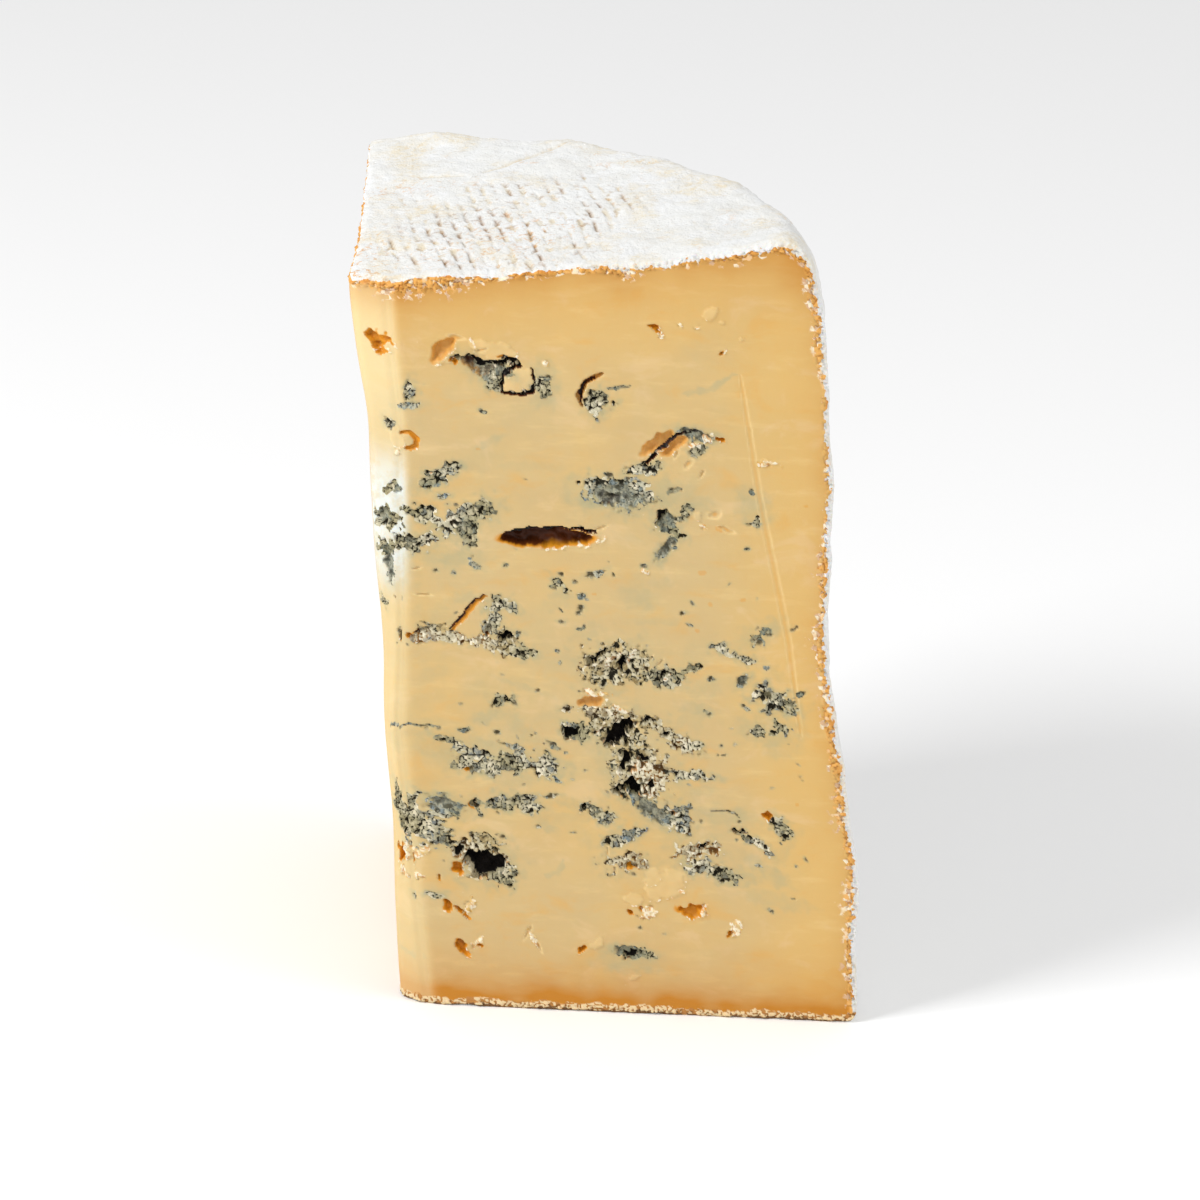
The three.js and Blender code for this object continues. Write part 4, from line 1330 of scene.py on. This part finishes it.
def cut_paste_material(colours, bloom, crumbs):
    """The cut paste: buttery in the middle, ripe under the rind, with mould and hollows."""
    material, tree, shader = new_material("Cut paste")
    under = mask(tree, "under")
    base = mask(tree, "base")
    shade = mask(tree, "shade")
    gap = mask(tree, "gap")

    # the bare paste: cloudy, smeared level by the knife, riper towards the rind
    cloud = mottle(tree, 26, 3, 0.55, warp=0.4)
    smear = mottle(tree, 5, 3, 0.6, scale=(0.35, 0.35, 1.0))
    fine = mottle(tree, 1.3, 3, 0.6)
    cloud = stretch(tree, cloud, 0.38, 0.68, 0.0, 0.5)
    paste = blend(tree, cloud, colours["paste"], colours["butter"])
    paste = blend(tree, stretch(tree, smear, 0.35, 0.7, 0.0, 0.22), paste, TINTS["dull smear"])
    greenish = stretch(tree, mottle(tree, 12, 3, 0.6), 0.5, 0.75, 0.0, 0.18)
    paste = blend(tree, greenish, paste, colours["moss"])
    soft = plus(tree, under, centred(tree, mottle(tree, 9, 2, 0.5), 6.0))
    paste = blend(tree, stretch(tree, soft, 26, 5, 0.0, 0.85), paste, colours["butter"])
    drag = mottle(tree, 2.2, 4, 0.6, scale=(0.22, 0.22, 1.0))
    paste = blend(tree, stretch(tree, drag, 0.52, 0.75, 0.0, 0.3), paste, TINTS["knife streak"])
    glow = mottle(tree, 6, 4, 0.6, scale=(0.6, 0.6, 1.0), warp=0.5)
    paste = blend(tree, stretch(tree, glow, 0.52, 0.74, 0.0, 0.42), paste, TINTS["golden patch"])
    paste = blend(tree, stretch(tree, glow, 0.46, 0.28, 0.0, 0.35), paste, TINTS["milky patch"])
    ripe = times(tree, mask(tree, "ripe"), stretch(tree, smear, 0.25, 0.75, 0.8, 1.15))
    paste = blend(tree, maths(tree, "MINIMUM", ripe, 0.95), paste, colours["honey"])

    # the tint around the veins, the nose painted paler with its white film, and smooth pale spots;
    # the paler nose is partly knife wear and partly painted light where the nose faces the lamp,
    # with a painted highlight along its edges
    haze = stretch(tree, mottle(tree, 3.2, 3, 0.6), 0.3, 0.65, 0.45, 1.0)
    haze = times(tree, haze, mask(tree, "haze"))
    hazed = blend(tree, haze, paste, colours["moss"])
    # painted light: the nose and its edges made paler, partly knife wear
    nose = mask(tree, "worn_and_lit")
    worn_and_lit = times(tree, nose, stretch(tree, base, 146, 134, 0.15, 0.58),
                 stretch(tree, base, 112, 126, 0.55, 1.0))
    hazed = blend(tree, worn_and_lit, hazed, TINTS["worn paste"])
    film = times(tree, stretch(tree, base, 78, 92), stretch(tree, base, 114, 102),
                 stretch(tree, mottle(tree, 3, 4, 0.65), 0.36, 0.6, 0.5, 0.98), nose)
    hazed = blend(tree, film, hazed, TINTS["white film"])
    smooth = maths(tree, "MINIMUM", mask(tree, "light"), 0.6)
    hazed = blend(tree, smooth, hazed, TINTS["smooth paste"])

    # the walls of holes and cracks: amber paste, then bark brown as painted shade on their upper
    # left walls, which also darkens dark flecks
    warm = stretch(tree, mask(tree, "warm"), 0.05, 0.75, 0.0, 0.95)
    warmed = blend(tree, warm, hazed, colours["amber"])
    # painted shade: bark brown laid over the walls by the dark mask
    dark = mask(tree, "dark")
    wall_shade_and_dark_flecks = blend(tree, stretch(tree, dark, 0.05, 0.6), warmed, colours["bark"])

    # mouldy crumbs, felt with painted shade inside hollows, near-black painted shade deep in the
    # hollows, and pale curd with painted highlights on the lower right rims of holes
    crumb = use_group(tree, crumbs, Mould=mask(tree, "mould"), Shade=shade, Gap=gap)
    crust = mask(tree, "crust")
    loose = plus(tree, crust, centred(tree, shade, 0.5), centred(tree, fine, 0.9))
    loose = times(tree, stretch(tree, loose, 0.36, 0.56), stretch(tree, crust, 0.02, 0.2))
    moulded = blend(tree, loose, wall_shade_and_dark_flecks, crumb.outputs["Color"])
    felt = stretch(tree, plus(tree, fine, centred(tree, shade, 0.5)), 0.3, 0.7)
    felt = blend(tree, felt, TINTS["dark felt"], TINTS["pale felt"])
    felt = blend(tree, stretch(tree, dark, 0.4, 1.0), felt, TINTS["shaded felt"])
    felted = times(tree, mask(tree, "velvet"),
                   maths(tree, "SUBTRACT", 1.0, times(tree, loose, 0.6)))
    moulded = blend(tree, felted, moulded, felt)
    # painted shade: near black where the dark mask is strongest, deep in the hollows
    black = blend(tree, stretch(tree, dark, 0.78, 1.0), moulded, TINTS["black hollow"])
    # pale curd and the painted highlights on the lower right rims of holes
    torn_and_lit = plus(tree, mask(tree, "pale"), centred(tree, fine, 0.8))
    torn_and_lit = stretch(tree, torn_and_lit, 0.35, 0.7, 0.0, 0.85)
    white_curd = blend(tree, stretch(tree, gap, 0.4, 0.9, 0.0, 0.75),
                       colours["cream"], colours["amber"])
    curd = blend(tree, torn_and_lit, black, white_curd)

    # crumbs under the bloom, then the bloom itself; both end crumb by crumb
    stray = plus(tree, centred(tree, fine, 0.8), centred(tree, shade, 1.1))
    clump = centred(tree, mottle(tree, 2.6, 2, 0.6), 2.6)
    white = stretch(tree, plus(tree, mask(tree, "skin"), stray, clump), 1.15, 0.9)
    ember = blend(tree, stretch(tree, shade, 0.12, 0.4), colours["cream"], TINTS["golden crumb"])
    rusty = stretch(tree, plus(tree, shade, centred(tree, fine, 0.7)), 0.6, 1.0)
    ember = blend(tree, rusty, ember, colours["rust"])
    # painted shade: darker golden brown in the gaps between the crumbs
    ember = blend(tree, stretch(tree, gap, 0.35, 0.95, 0.0, 0.6), ember, TINTS["crumb gap"])
    loosened = stretch(tree, plus(tree, mask(tree, "ember"), stray), 1.15, 0.75, 0.0, 0.9)
    ringed = blend(tree, loosened, curd, ember)
    rind = use_group(tree, bloom, **{"Low ground": 0.1, "Worn": 0.15})
    bloomy = blend(tree, white, ringed, rind.outputs["Color"])

    # the bottom rind: pale crumbs with painted shade in the gaps between them, over a brown line
    # painted along the very bottom as the shadow where it meets the floor
    uneven = centred(tree, mottle(tree, 7, 3, 0.6, scale=(1, 1, 0.2)), 2.4)
    low = plus(tree, base, centred(tree, fine, 0.8), centred(tree, shade, 0.6), uneven)
    # painted shade in the gaps between the crumbs of the foot
    foot = stretch(tree, plus(tree, gap, centred(tree, fine, 0.9)), 0.2, 0.7)
    foot = blend(tree, foot, TINTS["pale foot"], TINTS["brown foot"])
    crusted = blend(tree, stretch(tree, low, 1.9, 1.5), bloomy, foot)
    # painted shadow: a dark brown line along the very bottom
    colour = blend(tree, stretch(tree, low, 0.55, 0.2), crusted, TINTS["foot line"])
    tree.links.new(colour, shader.inputs["Base Color"])

    dull = maths(tree, "MAXIMUM", loose, white)
    dull = plus(tree, dull, times(tree, fine, 0.2))
    rough = stretch(tree, dull, 0.0, 1.1, 0.45, 0.95, smooth=False)
    tree.links.new(rough, shader.inputs["Roughness"])

    powdery = maths(tree, "MAXIMUM", white, loosened)
    relief = plus(tree, times(tree, drag, 0.07), times(tree, fine, 0.05),
                  times(tree, crumb.outputs["Height"], loose),
                  times(tree, rind.outputs["Height"], powdery))
    bump = put(tree, "ShaderNodeBump", {"Height": relief, "Distance": MM, "Strength": 1.0})
    tree.links.new(bump.outputs[0], shader.inputs["Normal"])

    solid = maths(tree, "SUBTRACT", 1.0, maths(tree, "MAXIMUM", loose, dark), clamp=True)
    tree.links.new(times(tree, solid, 0.15), shader.inputs["Subsurface Weight"])
    shader.inputs["Subsurface Radius"].default_value = (1.0, 0.6, 0.3)
    shader.inputs["Subsurface Scale"].default_value = 0.0014
    shader.inputs["Specular IOR Level"].default_value = 0.3
    return material


def rind_material(colours, bloom):
    """The dry white rind of the top, the side and the bottom."""
    material, tree, shader = new_material("White rind")
    worn_and_lit = stretch(tree, mottle(tree, 16, 3, 0.6), 0.52, 0.75, 0.0, 0.45)
    rind = use_group(tree, bloom, **{"Low ground": mask(tree, "print"),
                                     "Tick": mask(tree, "tick"), "Rub": mask(tree, "rub"),
                                     "Worn": worn_and_lit})
    tree.links.new(rind.outputs["Color"], shader.inputs["Base Color"])
    rough = stretch(tree, mottle(tree, 1.2, 2, 0.5), 0.3, 0.7, 0.86, 0.98)
    tree.links.new(rough, shader.inputs["Roughness"])
    relief = plus(tree, rind.outputs["Height"], times(tree, mottle(tree, 0.4, 2, 0.5), 0.10))
    bump = put(tree, "ShaderNodeBump", {"Height": relief, "Distance": MM, "Strength": 1.0})
    tree.links.new(bump.outputs[0], shader.inputs["Normal"])
    shader.inputs["Specular IOR Level"].default_value = 0.15
    shader.inputs["Sheen Weight"].default_value = 0.12
    shader.inputs["Sheen Roughness"].default_value = 0.6
    return material


# ------------------------------------------------------------------------------ the mesh

# How each sheet is laid flat in the piece's texture square: its left and lower edges in steps,
# and the millimetres in a step.
CHART_STEPS = 1024
CHARTS = {"front": (4, 4, 0.202), "nose": (410, 4, 0.202), "side": (452, 4, 0.22),
          "rim": (508, 673, 0.4), "top": (4, 775, 0.36), "bottom": (256, 775, 0.36)}


def lay_flat(skin, surface):
    """Where every corner of every face lies in the texture square, seen from outside."""
    x, y, z = surface.plain.T
    radius = np.hypot(x, y)
    flat = {"front": (radius, z), "nose": (surface.along, z), "side": (-radius, z),
            "rim": (-z, surface.angle * skin.wedge.radius), "top": (x, y), "bottom": (-x, y)}
    places = []
    for name, faces in skin.sheets.items():
        corners = faces[faces >= 0]
        left, low, step = CHARTS[name]
        u, v = (values[corners] for values in flat[name])
        places.append(np.stack([left + (u - u.min()) / step, low + (v - v.min()) / step], axis=1))
    return (np.concatenate(places) / CHART_STEPS).astype(np.float32)


def make_mesh(name, skin, surface):
    """Turns the skin into one closed Blender mesh with its masks."""
    names = list(skin.sheets)
    faces = np.concatenate([skin.sheets[n] for n in names])
    slots = np.concatenate([
        np.full(len(skin.sheets[n]), 0 if n in ("front", "nose", "side") else 1, np.int32)
        for n in names])
    sides = np.where(faces[:, 3] < 0, 3, 4)
    loops = faces.ravel()
    loops = loops[loops >= 0]
    mesh = bpy.data.meshes.new(name)
    mesh.vertices.add(len(surface.final))
    mesh.vertices.foreach_set("co", (surface.final * MM).astype(np.float32).ravel())
    mesh.loops.add(len(loops))
    mesh.loops.foreach_set("vertex_index", loops.astype(np.int32))
    mesh.polygons.add(len(faces))
    starts = np.concatenate([[0], np.cumsum(sides)[:-1]])
    mesh.polygons.foreach_set("loop_start", starts.astype(np.int32))
    mesh.polygons.foreach_set("material_index", slots)
    mesh.polygons.foreach_set("use_smooth", np.ones(len(faces), bool))
    mesh.update(calc_edges=True)
    flat = mesh.uv_layers.new(name="OFBake")
    flat.data.foreach_set("uv", lay_flat(skin, surface).ravel())
    for label, values in surface.masks.items():
        layer = mesh.attributes.new(label, "FLOAT", "POINT")
        layer.data.foreach_set("value", values.astype(np.float32))
    return mesh


class CHEESE_OT_wedge(bpy.types.Operator):
    """Build the wedge with its hollows, veins and rind"""

    bl_idname = "cheese.wedge"
    bl_label = "Build the wedge"

    def execute(self, context):
        sizes = context.scene.cheese_sizes
        chosen = context.scene.cheese_colours
        colours = {name: tuple(getattr(chosen, name)) for name in CheeseColours.__annotations__}
        skin = Skin(Wedge(sizes), sizes.cut_grain / MM, sizes.rind_grain / MM)
        surface = Surface(skin, sizes.seed)
        mesh = make_mesh("blue_cheese", skin, surface)
        piece = bpy.data.objects.new("blue_cheese", mesh)
        context.scene.collection.objects.link(piece)
        bloom = bloom_group(colours)
        crumbs = crumb_group(colours)
        mesh.materials.append(cut_paste_material(colours, bloom, crumbs))
        mesh.materials.append(rind_material(colours, bloom))
        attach(piece, "root")
        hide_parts("cheese_wedge")
        return {"FINISHED"}


# ------------------------------------------------------------------------------ the stage


def make_floor(studio):
    """A wide plain floor."""
    half = 4.0  # metres
    mesh = bpy.data.meshes.new("floor")
    corners = [(-half, -half, 0), (half, -half, 0), (half, half, 0), (-half, half, 0)]
    mesh.from_pydata(corners, [], [(0, 1, 2, 3)])
    floor = bpy.data.objects.new("floor", mesh)
    bpy.context.scene.collection.objects.link(floor)
    material, tree, shader = new_material("Plain floor")
    shader.inputs["Base Color"].default_value = (*studio.floor, 1)
    shader.inputs["Roughness"].default_value = 0.9
    shader.inputs["Specular IOR Level"].default_value = 0.1
    mesh.materials.append(material)


def make_lamp(name, place, target, power, size):
    """A square white area lamp that faces a point."""
    data = bpy.data.lights.new(name, "AREA")
    data.energy = power
    data.size = size
    lamp = bpy.data.objects.new(name, data)
    bpy.context.scene.collection.objects.link(lamp)
    lamp.location = place
    lamp.rotation_euler = (Vector(target) - Vector(place)).to_track_quat("-Z", "Y").to_euler()


def make_camera(studio):
    """A long lens that looks down at the broad cut face."""
    target = Vector((-0.0005, cad_box[0][1] + 0.0012, 0.0831))
    rise = studio.camera_rise
    side = studio.camera_side
    away = Vector((math.sin(side) * math.cos(rise), -math.cos(side) * math.cos(rise),
                   math.sin(rise)))
    data = bpy.data.cameras.new("camera")
    data.lens = studio.lens
    data.sensor_width = 36
    data.clip_end = 20
    camera = bpy.data.objects.new("camera", data)
    bpy.context.scene.collection.objects.link(camera)
    facing = (-away).to_track_quat("-Z", "Y").to_matrix().to_4x4()
    place = Matrix.Translation(target + away * studio.camera_distance)
    camera.matrix_world = place @ facing @ Matrix.Rotation(studio.camera_roll, 4, "Z")
    bpy.context.scene.camera = camera


class CHEESE_OT_studio(bpy.types.Operator):
    """Set up the floor, the light and the camera"""

    bl_idname = "cheese.studio"
    bl_label = "Set up the studio"

    def execute(self, context):
        studio = context.scene.cheese_studio
        make_floor(studio)
        world = bpy.data.worlds.new("studio")
        world.use_nodes = True
        backdrop = world.node_tree.nodes["Background"]
        backdrop.inputs["Color"].default_value = (1, 1, 1, 1)
        backdrop.inputs["Strength"].default_value = studio.sky
        context.scene.world = world
        middle = (0, 0, 0.08)
        make_lamp("key", (-0.75, -0.45, 0.75), middle, studio.key, 0.4)
        make_lamp("fill", (0.85, -0.25, 0.5), middle, studio.fill, 0.6)
        make_camera(studio)
        context.scene.view_settings.view_transform = "Standard"
        return {"FINISHED"}


class CHEESE_PT_panel(bpy.types.Panel):
    """Sizes, colours and the build steps"""

    bl_idname = "CHEESE_PT_panel"
    bl_label = "Blue Cheese"
    bl_space_type = "VIEW_3D"
    bl_region_type = "UI"
    bl_category = "Cheese"

    def draw(self, context):
        layout = self.layout
        for operator in OPERATORS:
            layout.operator(operator.bl_idname)
        for group in (context.scene.cheese_sizes, context.scene.cheese_colours,
                      context.scene.cheese_studio):
            box = layout.box()
            for name in group.__annotations__:
                box.prop(group, name)


GROUPS = {"cheese_sizes": WedgeSizes, "cheese_colours": CheeseColours,
          "cheese_studio": StudioSettings}
OPERATORS = (CHEESE_OT_studio, CHEESE_OT_wedge)
CLASSES = (*GROUPS.values(), *OPERATORS, CHEESE_PT_panel)


def register():
    """Registers the classes and hangs the settings on the scene."""
    for cls in CLASSES:
        bpy.utils.register_class(cls)
    for name, group in GROUPS.items():
        setattr(bpy.types.Scene, name, PointerProperty(type=group))


def unregister():
    """Takes everything back out."""
    for name in GROUPS:
        delattr(bpy.types.Scene, name)
    for cls in reversed(CLASSES):
        bpy.utils.unregister_class(cls)


def main():
    """Builds the studio and the wedge."""
    register()
    bpy.ops.cheese.studio()
    bpy.ops.cheese.wedge()


if __name__ == "__main__":
    main()
